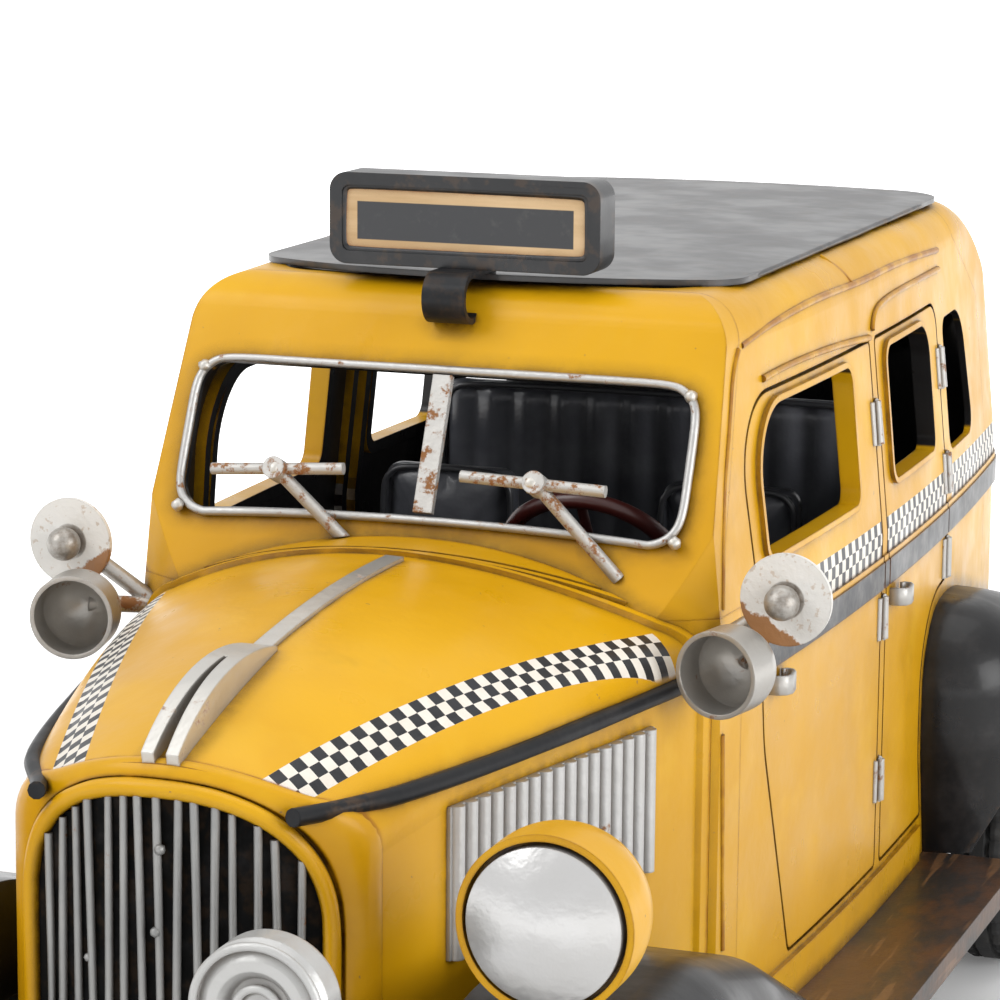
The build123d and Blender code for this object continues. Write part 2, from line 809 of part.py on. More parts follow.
with BuildPart() as wipers:
    for wiper in wiper_places:
        bar_start, bar_end, pivot, foot = wiper
        add(rod(bar_start, bar_end, wiper_bar_radius))
        add(rod(pivot, foot, wiper_arm_radius))
        with BuildSketch(Plane(origin=pivot, z_dir=windshield_plane.z_dir)):
            Circle(wiper_knob_radius)
        extrude(amount=wiper_knob_radius, both=True)
    add(outer, mode=Mode.SUBTRACT)
    add(cowl.part, mode=Mode.SUBTRACT)
    add(bonnet_form(-cowl_bead_proud), mode=Mode.SUBTRACT)
save(wipers, "wipers")

with BuildPart() as divider:
    with BuildSketch(windshield_plane.offset(wire_radius - sheet / 2)):
        with Locations((0, (windshield_up + windshield_arch) / 2)):
            Rectangle(divider_width, windshield_up - windshield_arch - 2 * wire_radius - 0.1)
    extrude(amount=sheet)
save(divider, "divider")

# ---------------------------------------------------------------- bonnet
nose_block = bow_block(nose_y, nose_bow_radius)
with BuildPart() as rear_bead:
    add(cabin_plan(-cowl_bead_width, 0, 0))
    extrude(amount=roof_z)
    add(bonnet_form(-cowl_bead_proud), mode=Mode.INTERSECT)
    add(bonnet, mode=Mode.SUBTRACT)
with BuildPart() as hood:
    add(bonnet)
    add(bonnet_form(sheet), mode=Mode.SUBTRACT)
    add(rear_bead.part)
    add(nose_block, mode=Mode.INTERSECT)
    add(cabin_plan(0, 0, 0))
    extrude(amount=roof_z, mode=Mode.SUBTRACT)
save(hood, "hood")

with BuildPart() as hood_belt_strips:
    add(bonnet_form(-hood_strip_proud))
    add(bonnet, mode=Mode.SUBTRACT)
    add(nose_block, mode=Mode.INTERSECT)
    add(side_zone([
        (nose_y, hood_strip_front_z),
        (hood_strip_rear_y, hood_strip_rear_z),
        (hood_strip_rear_y, hood_strip_rear_z + hood_strip_height),
        (nose_y, hood_strip_front_z + hood_strip_height),
    ]), mode=Mode.INTERSECT)
save(hood_belt_strips, "hood_belt_strips")

with BuildPart() as hood_trim:
    add(bonnet_form(-strip_proud))
    add(bonnet, mode=Mode.SUBTRACT)
    with BuildSketch(Plane.XY.offset(belt_z)):
        with BuildLine():
            half = trim_width / 2
            Polyline(
                (-half, trim_front_y),
                (half, trim_front_y),
                (trim_skew + half, trim_rear_y),
                (trim_skew - half, trim_rear_y),
                close=True,
            )
        make_face()
    extrude(amount=far, mode=Mode.INTERSECT)
    with BuildSketch(Plane.YZ) as ornament:
        with BuildLine():
            Spline(*ornament_upper)
            Line(ornament_upper[-1], ornament_lower[-1])
            Spline(*ornament_lower)
            Line(ornament_lower[0], ornament_upper[0])
        make_face()
    extrude(amount=ornament_width / 2, both=True)
    with BuildSketch(Plane.XY.offset(arch_shoulder_z)):
        with BuildLine():
            tip_y = ornament_upper[-1][0] - 1
            Polyline(
                (-ornament_slot / 2, tip_y),
                (ornament_slot / 2, tip_y),
                (ornament_slot / 6, ornament_lower[1][0]),
                (-ornament_slot / 6, ornament_lower[1][0]),
                close=True,
            )
        make_face()
    extrude(amount=far, mode=Mode.SUBTRACT)
    add(bonnet, mode=Mode.SUBTRACT)
save(hood_trim, "hood_trim")


def hood_side_x(y):
    """Half width of the bonnet's upright side, read from its solid."""
    probe = Axis((0, y, vent_low_z), (1, 0, 0))
    hits = bonnet.find_intersection_points(probe)
    return max(point.X for point, _ in hits)


vent_start = Vector(hood_side_x(vent_front_y), vent_front_y, vent_low_z)
vent_end = Vector(hood_side_x(vent_rear_y), vent_rear_y, vent_low_z)
vent_run = vent_end - vent_start
vent_plane = Plane(origin=vent_start, x_dir=vent_run, z_dir=(0, 0, 1))
with BuildPart() as vent_panels:
    with BuildSketch(vent_plane):
        pitch = vent_run.length / vent_ribs
        with Locations((vent_run.length / 2, (vent_seat - vent_base) / 2)):
            Rectangle(vent_run.length, vent_seat + vent_base)
        with Locations(*[((rib + 0.5) * pitch, -vent_base) for rib in range(vent_ribs)]):
            Circle(pitch * 0.36)
    extrude(amount=vent_height)
    add(bonnet, mode=Mode.SUBTRACT)
    mirror(about=Plane.YZ)
save(vent_panels, "vent_panels")


def arch_form(inset):
    """The grille's arch as a closed form from the bowed nose forwards, its outline moved in."""
    plane = Plane.XZ.offset(-(nose_y + nose_bow_radius))
    low = grille_low_z - arch_rim + inset
    with BuildPart() as form:
        extrude(
            bonnet_outline(arch_half, arch_shoulder_x, arch_shoulder_z, arch_crown_z, low, plane, inset),
            amount=far,
        )
        add(nose_block, mode=Mode.SUBTRACT)
    return form.part


with BuildPart() as grille_surround:
    add(arch_form(0))
    add(arch_form(arch_rim), mode=Mode.SUBTRACT)
    add(bow_block(nose_y - arch_depth, nose_bow_radius), mode=Mode.INTERSECT)
save(grille_surround, "grille_surround")

with BuildPart() as grille_backing:
    add(arch_form(arch_rim + grille_gap))
    add(bow_block(nose_y - grille_backing_depth, nose_bow_radius), mode=Mode.INTERSECT)
save(grille_backing, "grille_backing")

arch_inner_half = arch_half - arch_rim
bar_pitch = 2 * arch_inner_half / (bar_count + 1)
with BuildPart() as grille_bars:
    for bar in range(bar_count):
        x = (bar + 1) * bar_pitch - arch_inner_half
        y = nose_y - grille_backing_depth + nose_bow_radius
        y -= math.sqrt((nose_bow_radius + bar_seat) ** 2 - x**2)
        with BuildSketch(Plane.XY.offset(grille_low_z)):
            with Locations((x, y)):
                Circle(bar_radius)
        extrude(amount=far)
    with BuildSketch(Plane.XY.offset(grille_low_z)):
        with Locations((0, nose_y - grille_backing_depth - bar_seat - bar_radius)):
            Rectangle(centre_bar_width, sheet)
    extrude(amount=far)
    add(arch_form(arch_rim + 2 * grille_gap), mode=Mode.INTERSECT)
save(grille_bars, "grille_bars")

# ---------------------------------------------------------------- running gear
with BuildPart() as axles:
    for axle_y in (front_axle_y, rear_axle_y):
        half_length = hub_outer_x + end_play
        with BuildSketch(Plane.YZ.offset(-half_length)):
            with Locations((axle_y, tyre_radius)):
                Circle(axle_radius)
        extrude(amount=2 * half_length)
        for start_x, length in (
            (half_length, axle_head_length),
            (-half_length - axle_head_length, axle_head_length),
            (collar_inner_x, hub_inner_x - end_play - collar_inner_x),
            (end_play - hub_inner_x, hub_inner_x - end_play - collar_inner_x),
        ):
            with BuildSketch(Plane.YZ.offset(start_x)):
                with Locations((axle_y, tyre_radius)):
                    Circle(axle_head_radius)
            extrude(amount=length)
save(axles, "axles")

rail_middle_y = (rail_front_y + rail_rear_y) / 2
with BuildPart() as rails:
    with BuildSketch(Plane.XY.offset(rail_low_z)):
        with Locations((-rail_x, rail_middle_y), (rail_x, rail_middle_y)):
            Rectangle(rail_width, rail_rear_y - rail_front_y)
    extrude(amount=floor_z - rail_low_z)
    for axle_y in (front_axle_y, rear_axle_y):
        with BuildSketch(Plane.YZ.offset(-far)):
            with Locations((axle_y, tyre_radius)):
                Circle(axle_radius)
        extrude(amount=2 * far, mode=Mode.SUBTRACT)
save(rails, "rails")

with BuildPart() as cross_members:
    with BuildSketch(Plane.XY.offset(rail_low_z)):
        for y in cross_member_ys:
            with Locations((0, y)):
                Rectangle(2 * rail_x - rail_width, rail_width)
    extrude(amount=floor_z - rail_low_z)
save(cross_members, "cross_members")

with BuildPart() as board_arms:
    arm_inner_x = rail_x + rail_width / 2
    arm_outer_x = board_outer_x - 2 * sheet
    with BuildSketch(Plane.XY.offset(body_low_z - board_thick - board_arm_height)):
        for y in board_arm_ys:
            with Locations(((arm_inner_x + arm_outer_x) / 2, y)):
                Rectangle(arm_outer_x - arm_inner_x, rail_width)
    extrude(amount=board_arm_height)
    mirror(about=Plane.YZ)
save(board_arms, "board_arms")

for place, axle_y in (("front", front_axle_y), ("rear", rear_axle_y)):
    for side, hand in ((1, "left"), (-1, "right")):
        plane = Plane(origin=(side * half_track, axle_y, tyre_radius), x_dir=(side, 0, 0), z_dir=(0, 1, 0))
        axis = Axis((side * half_track, axle_y, tyre_radius), (1, 0, 0))
        with BuildPart() as tyre:
            with BuildSketch(plane) as tyre_section:
                with Locations((0, (tyre_radius + rim_radius) / 2)):
                    Rectangle(tyre_width, tyre_radius - rim_radius)
                fillet(tyre_section.vertices().group_by(Axis.Y)[-1], tyre_shoulder)
            revolve(axis=axis, revolution_arc=360)
        save(tyre, f"tyre_{place}_{hand}")
        with BuildPart() as wheel:
            with BuildSketch(plane):
                with BuildLine():
                    Polyline(
                        (-hub_half, axle_radius + axle_clearance),
                        (-hub_half, hub_radius),
                        (-wheel_web / 2, hub_radius),
                        (-wheel_web / 2, rim_radius - wheel_rim),
                        (-tyre_width / 2 + 1, rim_radius - wheel_rim),
                        (-tyre_width / 2 + 1, rim_radius),
                        (tyre_width / 2 - 1, rim_radius),
                        (tyre_width / 2 - 1, rim_radius - wheel_rim),
                        (wheel_web / 2, rim_radius - wheel_rim - 1),
                        (wheel_web, hub_cap_radius),
                        (hub_half, hub_cap_radius - 1.5),
                        (hub_half, axle_radius + axle_clearance),
                        close=True,
                    )
                make_face()
            revolve(axis=axis, revolution_arc=360)
        save(wheel, f"wheel_{place}_{hand}")

# ---------------------------------------------------------------- fenders and running boards


with BuildPart() as rear_fender:
    add(pontoon(0))
    add(pontoon(sheet), mode=Mode.SUBTRACT)
    add(outer, mode=Mode.SUBTRACT)
    with BuildSketch(Plane.XY.offset(body_low_z)):
        with Locations((fender_hinge_x, rear_axle_y)):
            Rectangle(far, 2 * far)
    extrude(amount=-far, mode=Mode.SUBTRACT)
    with BuildSketch(Plane.YZ.offset(half_track - tyre_width / 2 - end_play)):
        with Locations((rear_axle_y, tyre_radius)):
            Circle(wheel_opening)
    extrude(amount=far, mode=Mode.SUBTRACT)
with BuildPart() as rear_fenders:
    add(rear_fender.part)
    mirror(about=Plane.YZ)
save(rear_fenders, "rear_fenders")


def fender_crown(inset):
    """The front fender's crowned cover swept over the wheel, closed underneath."""
    with BuildLine(Plane.YZ.offset(fender_inner_x)) as path:
        FilletPolyline(*front_fender_path, radius=fender_path_radius)
    start = Plane(origin=path.line @ 0, x_dir=(1, 0, 0), z_dir=path.line % 0)
    width = fender_outer_x - fender_inner_x - inset
    edge = fender_edge - inset
    with BuildPart() as crown:
        with BuildSketch(start):
            with BuildLine():
                Line((inset - sheet, inset), (width - edge, inset))
                RadiusArc((width - edge, inset), (width, inset + edge), -edge)
                Polyline(
                    (width, inset + edge),
                    (width, fender_skirt + inset),
                    (inset - sheet, fender_skirt + inset),
                    (inset - sheet, inset),
                )
            make_face()
        sweep(path=path.line)
    return crown.part


board_top_z = body_low_z
with BuildPart() as front_fenders:
    add(fender_crown(0))
    add(fender_crown(sheet), mode=Mode.SUBTRACT)
    with BuildSketch(Plane.YZ.offset(fender_inner_x)):
        with BuildLine() as wall_top:
            arch = FilletPolyline(*front_fender_path, radius=fender_path_radius)
            Line(arch @ 1, arch @ 0)
        make_face()
    extrude(amount=-sheet)
    with BuildSketch(Plane.XY.offset(apron_z)):
        with BuildLine():
            Polyline(
                (apron_inner_x, apron_front_y),
                (fender_inner_x, apron_front_y),
                (fender_inner_x, apron_rear_y),
                (apron_inner_x, apron_rear_y),
                close=True,
            )
        make_face()
    extrude(amount=sheet)
    with BuildSketch(Plane.XY):
        with Locations((fender_inner_x, (apron_front_y + apron_rear_y) / 2)):
            Rectangle(far, 2 * (apron_rear_y - apron_front_y))
    extrude(amount=board_top_z, mode=Mode.SUBTRACT)
    with BuildSketch(Plane.XY):
        with Locations((fender_inner_x - far / 2, apron_front_y)):
            Rectangle(far - 2 * sheet, 4 * far)
    extrude(amount=apron_z, mode=Mode.SUBTRACT)
    add(bonnet_form(-0.02), mode=Mode.SUBTRACT)
    add(outer, mode=Mode.SUBTRACT)
    mirror(about=Plane.YZ)
save(front_fenders, "front_fenders")

with BuildPart() as running_boards:
    board_middle_y = (board_front_y + board_rear_y) / 2
    board_length = board_rear_y - board_front_y
    with BuildSketch(Plane.XY.offset(board_top_z - board_thick)):
        with Locations(((board_inner_x + board_outer_x) / 2, board_middle_y)):
            Rectangle(board_outer_x - board_inner_x, board_length)
    extrude(amount=board_thick)
    with BuildSketch(Plane.XY.offset(board_top_z - board_lip)):
        with Locations((board_outer_x - sheet / 2, board_middle_y)):
            Rectangle(sheet, board_length)
    extrude(amount=board_lip)
    mirror(about=Plane.YZ)
save(running_boards, "running_boards")


bumpers = (("front_bumper", -bumper_y, 1), ("rear_bumper", bumper_y, -1))
for name, bar_y, direction in bumpers:
    end_y = bar_y + direction * bumper_bow
    back = direction * bumper_thick
    with BuildPart() as bumper:
        with BuildSketch(Plane.XY.offset(bumper_low_z)):
            with BuildLine():
                ThreePointArc((-bumper_half, end_y), (0, bar_y), (bumper_half, end_y))
                Line((bumper_half, end_y), (bumper_half, end_y + back))
                ThreePointArc((bumper_half, end_y + back), (0, bar_y + back), (-bumper_half, end_y + back))
                Line((-bumper_half, end_y + back), (-bumper_half, end_y))
            make_face()
        extrude(amount=bumper_high_z - bumper_low_z)
    save(bumper, name)

# each arm starts on the bumper where the bowed bar passes the rail
bumper_radius = (bumper_half**2 + bumper_bow**2) / (2 * bumper_bow)
arm_bow = bumper_radius - math.sqrt(bumper_radius**2 - (rail_x + rail_width / 2) ** 2)
with BuildPart() as bumper_arms:
    for bar_y, direction, rail_end_y in ((-bumper_y, 1, rail_front_y), (bumper_y, -1, rail_rear_y)):
        start_y = bar_y + direction * (bumper_thick + arm_bow)
        with BuildSketch(Plane.XY.offset(bumper_low_z - end_play)):
            with Locations((0, (start_y + rail_end_y) / 2)):
                with Locations((-rail_x, 0), (rail_x, 0)):
                    Rectangle(rail_width, abs(rail_end_y - start_y))
        extrude(amount=body_low_z - bumper_low_z)
save(bumper_arms, "bumper_arms")

# ---------------------------------------------------------------- lamps and mirrors
lamp_centre = (lamp_x, lamp_y, lamp_z)
lamp_plane = Plane(origin=lamp_centre, x_dir=(0, 1, 0), z_dir=(1, 0, 0))
lamp_axis = Axis(lamp_centre, (0, 1, 0))
with BuildPart() as bucket:
    with BuildSketch(lamp_plane):
        with BuildLine():
            rim = lamp_radius - trim_sheet
            knee = (0.75 * lamp_depth, 0.68 * lamp_radius)
            Polyline((0, 0), (0, rim), (-2, rim), (-2, lamp_radius), (3, lamp_radius))
            ThreePointArc((3, lamp_radius), knee, (lamp_depth, 0))
            Line((lamp_depth, 0), (0, 0))
        make_face()
    revolve(axis=lamp_axis, revolution_arc=360)
    with BuildSketch(Plane.XY.offset(lamp_post_low_z)):
        with Locations((lamp_x, lamp_y + lamp_post_back)):
            Circle(lamp_post_radius)
    extrude(amount=lamp_z - lamp_post_low_z - lamp_radius / 2)
    add(fender_crown(0), mode=Mode.SUBTRACT)
with BuildPart() as headlamp_buckets:
    add(bucket.part)
    mirror(about=Plane.YZ)
save(headlamp_buckets, "headlamp_buckets")

with BuildPart() as headlamp_lenses:
    with BuildSketch(lamp_plane):
        with BuildLine():
            flange = -2 - trim_sheet / 2
            ThreePointArc(
                (-lens_bulge - 2, 0),
                (-2 - 0.75 * lens_bulge, lens_radius / 2),
                (flange, lens_radius),
            )
            Polyline((flange, lens_radius), (0, lens_radius), (0, 0), (-lens_bulge - 2, 0))
        make_face()
    revolve(axis=lamp_axis, revolution_arc=360)
    mirror(about=Plane.YZ)
save(headlamp_lenses, "headlamp_lenses")

horn_centre = (horn_x, horn_y, horn_z)
with BuildPart() as horn_lamp:
    with BuildSketch(Plane(origin=horn_centre, x_dir=(0, 1, 0), z_dir=(1, 0, 0))):
        with BuildLine():
            Polyline(
                (1.2, 0),
                (0.4, 2.0),
                (1.0, 4.0),
                (-0.6, 5.2),
                (-0.6, 6.6),
                (0.4, horn_radius - 0.8),
                (1.4, horn_radius),
            )
            Line((1.4, horn_radius), (5, horn_radius))
            ThreePointArc((5, horn_radius), (9.6, 0.65 * horn_radius), (horn_depth, 0))
            Line((horn_depth, 0), (1.2, 0))
        make_face()
    revolve(axis=Axis(horn_centre, (0, 1, 0)), revolution_arc=360)
    with BuildSketch(Plane.XY.offset(floor_z)):
        with Locations((horn_x, horn_y + 0.5 * horn_depth)):
            Circle(lamp_post_radius)
    extrude(amount=horn_z - floor_z - horn_radius / 2)
save(horn_lamp, "horn_lamp")

toe = math.radians(cup_toe_in)
cup_axis = Vector(math.sin(toe), math.cos(toe), 0)
cup_centre = (cup_x, cup_y, cup_z)
with BuildPart() as side_lamps:
    with BuildSketch(Plane(origin=cup_centre, x_dir=cup_axis, z_dir=(cup_axis.Y, -cup_axis.X, 0))):
        with BuildLine():
            Line((0, cup_radius - cup_wall), (0, cup_radius))
            Line((0, cup_radius), (0.5 * cup_depth, cup_radius))
            ThreePointArc((0.5 * cup_depth, cup_radius), (0.85 * cup_depth, 0.7 * cup_radius), (cup_depth, 0))
            Line((cup_depth, 0), (cup_depth - cup_wall, 0))
            ThreePointArc(
                (cup_depth - cup_wall, 0),
                (0.85 * cup_depth - cup_wall, 0.7 * cup_radius - cup_wall),
                (0.5 * cup_depth, cup_radius - cup_wall),
            )
            Line((0.5 * cup_depth, cup_radius - cup_wall), (0, cup_radius - cup_wall))
        make_face()
    revolve(axis=Axis(cup_centre, cup_axis), revolution_arc=360)
    add(rod(lamp_bracket_root, (disc_x, disc_y + disc_thick, disc_z), lamp_bracket_radius))
    add(rod(lamp_bracket_root, Vector(*cup_centre) + cup_axis * (cup_depth - 0.3), lamp_bracket_radius))
    add(outer, mode=Mode.SUBTRACT)
    add(bonnet, mode=Mode.SUBTRACT)
    add(hood.part, mode=Mode.SUBTRACT)
    add(bands.part, mode=Mode.SUBTRACT)
    with BuildSketch(Plane.XZ.offset(-(disc_y + disc_thick))):
        with Locations((disc_x, disc_z)):
            Circle(disc_radius)
    extrude(amount=4 * disc_thick, mode=Mode.SUBTRACT)
    mirror(about=Plane.YZ)
save(side_lamps, "side_lamps")

with BuildPart() as side_mirrors:
    with BuildSketch(Plane.XZ.offset(-(disc_y + disc_thick))):
        with Locations((disc_x, disc_z)):
            Circle(disc_radius)
    extrude(amount=disc_thick)
    with BuildSketch(Plane(origin=(disc_x, disc_y, disc_z), x_dir=(0, 1, 0), z_dir=(1, 0, 0))):
        with BuildLine():
            CenterArc((-0.8 * knob_radius, 0), knob_radius, 0, 180)
            Line((-1.8 * knob_radius, 0), (0.2 * knob_radius, 0))
        make_face()
    revolve(axis=Axis((disc_x, disc_y, disc_z), (0, 1, 0)), revolution_arc=360)
    mirror(about=Plane.YZ)
save(side_mirrors, "side_mirrors")

with BuildPart() as tail_lamps:
    for side in (-1, 1):
        with BuildSketch(Plane.XZ.offset(-(tail_y + 2))):
            with Locations((side * tail_lamp_x, tail_lamp_z)):
                Circle(tail_lamp_radius)
        extrude(amount=8)
    add(outer, mode=Mode.SUBTRACT)
save(tail_lamps, "tail_lamps")

# ---------------------------------------------------------------- inside
seat_floor_z = floor_z + sheet
with BuildPart() as front_seats:
    for side in (-1, 1):
        with BuildSketch(Plane.XY.offset(seat_floor_z)):
            with Locations((side * seat_x, seat_back_y - seat_depth / 2)):
                Rectangle(seat_width - 4, seat_depth - 4)
        extrude(amount=seat_cushion_z - seat_thick - seat_floor_z)
        with BuildSketch(Plane.XY.offset(seat_cushion_z - seat_thick)):
            with Locations((side * seat_x, seat_back_y - seat_depth / 2)):
                RectangleRounded(seat_width, seat_depth, 4)
        extrude(amount=seat_thick)
        with BuildSketch(Plane.XZ.offset(-seat_back_y)):
            with Locations((side * seat_x, (seat_back_z + seat_cushion_z - seat_thick) / 2)):
                RectangleRounded(seat_width, seat_back_z - seat_cushion_z + seat_thick, 4.5)
        extrude(amount=seat_thick)
save(front_seats, "front_seats")

with BuildPart() as rear_bench:
    with BuildSketch(Plane.XY.offset(seat_floor_z)):
        with Locations((0, bench_back_y + bench_thick - bench_depth / 2)):
            Rectangle(2 * bench_half - 6, bench_depth - 4)
    extrude(amount=bench_cushion_z - seat_thick - seat_floor_z)
    with BuildSketch(Plane.XY.offset(bench_cushion_z - seat_thick)):
        with Locations((0, bench_back_y + bench_thick - bench_depth / 2)):
            RectangleRounded(2 * bench_half, bench_depth, 4)
    extrude(amount=seat_thick)
    with BuildSketch(Plane.XZ.offset(-(bench_back_y + bench_thick))):
        with Locations((0, (bench_top_z + bench_cushion_z - seat_thick) / 2)):
            RectangleRounded(2 * bench_half, bench_top_z - bench_cushion_z + seat_thick, bench_corner)
    extrude(amount=bench_thick)
save(rear_bench, "rear_bench")

tilt = math.radians(steering_tilt)
column_direction = Vector(0, -math.cos(tilt), -math.sin(tilt))
steering_centre = Vector(steering_x, steering_y, steering_z)
rim_plane = Plane(
    origin=steering_centre + Vector(steering_radius, 0, 0),
    z_dir=(0, math.sin(tilt), -math.cos(tilt)),
)
with BuildPart() as steering_wheel:
    with BuildSketch(rim_plane):
        Circle(steering_rim)
    revolve(axis=Axis(steering_centre, column_direction), revolution_arc=360)
    for angle in (90, 210, 330):
        spoke = Vector(
            math.cos(math.radians(angle)),
            -math.sin(tilt) * math.sin(math.radians(angle)),
            math.cos(tilt) * math.sin(math.radians(angle)),
        )
        add(rod(steering_centre, steering_centre + spoke * steering_radius, 0.8))
    add(rod(steering_centre - column_direction * 1.5, steering_centre + column_direction * 2, 3))
save(steering_wheel, "steering_wheel")

with BuildPart() as steering_column:
    add(rod(steering_centre + column_direction * 2, steering_centre + column_direction * 60, 1.6))
    add(inner, mode=Mode.INTERSECT)
save(steering_column, "steering_column")

# ---------------------------------------------------------------- roof sign
sign_middle_z = sign_low_z + sign_height / 2
with BuildPart() as sign_box:
    with BuildSketch(Plane.XZ.offset(-(sign_y + sign_depth))):
        with Locations((sign_middle_x, sign_middle_z)):
            RectangleRounded(sign_width, sign_height, sign_corner)
    extrude(amount=sign_depth)
    with BuildSketch(Plane.XZ.offset(-(sign_y + sign_recess))):
        with Locations((sign_middle_x, sign_middle_z)):
            RectangleRounded(sign_width - 2 * sign_rim, sign_height - 2 * sign_rim, sign_bezel_corner)
    extrude(amount=sign_depth, mode=Mode.SUBTRACT)
save(sign_box, "sign_box")

with BuildPart() as sign_face:
    with BuildSketch(Plane.XZ.offset(-(sign_y + sign_recess))):
        with Locations((sign_middle_x, sign_middle_z)):
            RectangleRounded(sign_width - 2 * sign_rim, sign_height - 2 * sign_rim, sign_bezel_corner)
    extrude(amount=trim_sheet)
save(sign_face, "sign_face")

with BuildPart() as sign_bracket:
    with BuildSketch(Plane.YZ) as band:
        with BuildLine() as band_line:
            centre_z = sign_low_z - scroll_radius
            Line((sign_y + sign_depth, sign_low_z), (scroll_y, sign_low_z))
            CenterArc((scroll_y, centre_z), scroll_radius, 90, scroll_turn)
            end = (
                scroll_y + scroll_radius * math.cos(math.radians(90 + scroll_turn)),
                centre_z + scroll_radius * math.sin(math.radians(90 + scroll_turn)),
            )
            inner_radius = scroll_radius - trim_sheet
            inner_end = (
                scroll_y + inner_radius * math.cos(math.radians(90 + scroll_turn)),
                centre_z + inner_radius * math.sin(math.radians(90 + scroll_turn)),
            )
            Line(end, inner_end)
            CenterArc((scroll_y, centre_z), inner_radius, 90 + scroll_turn, -scroll_turn)
            Polyline(
                (scroll_y, sign_low_z - trim_sheet),
                (sign_y + sign_depth, sign_low_z - trim_sheet),
                (sign_y + sign_depth, sign_low_z),
            )
        make_face()
    extrude(amount=scroll_width / 2, both=True)
    add(outer, mode=Mode.SUBTRACT)
    add(roof_panel.part, mode=Mode.SUBTRACT)
save(sign_bracket, "sign_bracket")
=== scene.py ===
import json
import math
import random

import bmesh
import bpy
from mathutils import Matrix, Vector
from mathutils.bvhtree import BVHTree

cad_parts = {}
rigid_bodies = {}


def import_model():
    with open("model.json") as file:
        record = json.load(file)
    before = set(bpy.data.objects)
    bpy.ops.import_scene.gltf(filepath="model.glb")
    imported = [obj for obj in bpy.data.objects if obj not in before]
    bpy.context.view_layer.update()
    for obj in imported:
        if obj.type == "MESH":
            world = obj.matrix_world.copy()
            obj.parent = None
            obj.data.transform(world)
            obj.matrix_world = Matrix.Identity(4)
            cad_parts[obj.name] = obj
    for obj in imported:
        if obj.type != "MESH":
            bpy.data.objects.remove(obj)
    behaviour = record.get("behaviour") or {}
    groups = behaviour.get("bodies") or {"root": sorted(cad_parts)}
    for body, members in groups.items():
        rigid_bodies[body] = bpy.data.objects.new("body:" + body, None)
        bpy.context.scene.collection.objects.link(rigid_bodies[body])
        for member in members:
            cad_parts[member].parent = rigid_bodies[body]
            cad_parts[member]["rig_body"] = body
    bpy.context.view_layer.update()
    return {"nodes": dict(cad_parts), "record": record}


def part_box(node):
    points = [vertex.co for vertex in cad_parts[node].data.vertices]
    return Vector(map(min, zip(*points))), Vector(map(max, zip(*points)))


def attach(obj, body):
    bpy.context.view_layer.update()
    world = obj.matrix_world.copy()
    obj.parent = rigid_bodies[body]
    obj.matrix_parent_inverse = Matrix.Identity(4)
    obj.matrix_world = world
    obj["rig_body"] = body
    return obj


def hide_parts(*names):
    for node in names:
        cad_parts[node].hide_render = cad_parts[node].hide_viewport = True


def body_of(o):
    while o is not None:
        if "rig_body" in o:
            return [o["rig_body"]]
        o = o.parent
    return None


# Looks of a folded-tin model taxi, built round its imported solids. Metres, +Z up, nose along -Y.

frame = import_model()
nodes = frame["nodes"]
MM = 0.001

# ---------- camera
FRAME = 1000              # the frame's width and height
CAMERA_PLACE = Vector((0.19332, -0.55439, 0.21327))
CAMERA_RIGHT = Vector((0.94066, 0.33926, 0.00754))
CAMERA_UP = Vector((-0.07031, 0.17311, 0.98239))
FOCAL = 3688.9 / FRAME    # focal length over the frame's width
SENSOR = 36.0


def make_camera():
    """The camera at the photograph's place and angle."""
    data = bpy.data.cameras.new("camera")
    data.sensor_fit = "HORIZONTAL"
    data.sensor_width = SENSOR
    data.lens = FOCAL * SENSOR
    data.clip_start = 0.01
    data.clip_end = 50
    camera = bpy.data.objects.new("camera", data)
    bpy.context.scene.collection.objects.link(camera)
    back = CAMERA_RIGHT.cross(CAMERA_UP)
    turn = Matrix((CAMERA_RIGHT, CAMERA_UP, back)).transposed()
    camera.matrix_world = Matrix.Translation(CAMERA_PLACE) @ turn.to_4x4()
    bpy.context.scene.camera = camera


# ---------- material graphs
CREASE_RAYS = 3
EDGE_RAYS = 2
EDGE_RADIUS = 0.35 * MM   # edges look this round


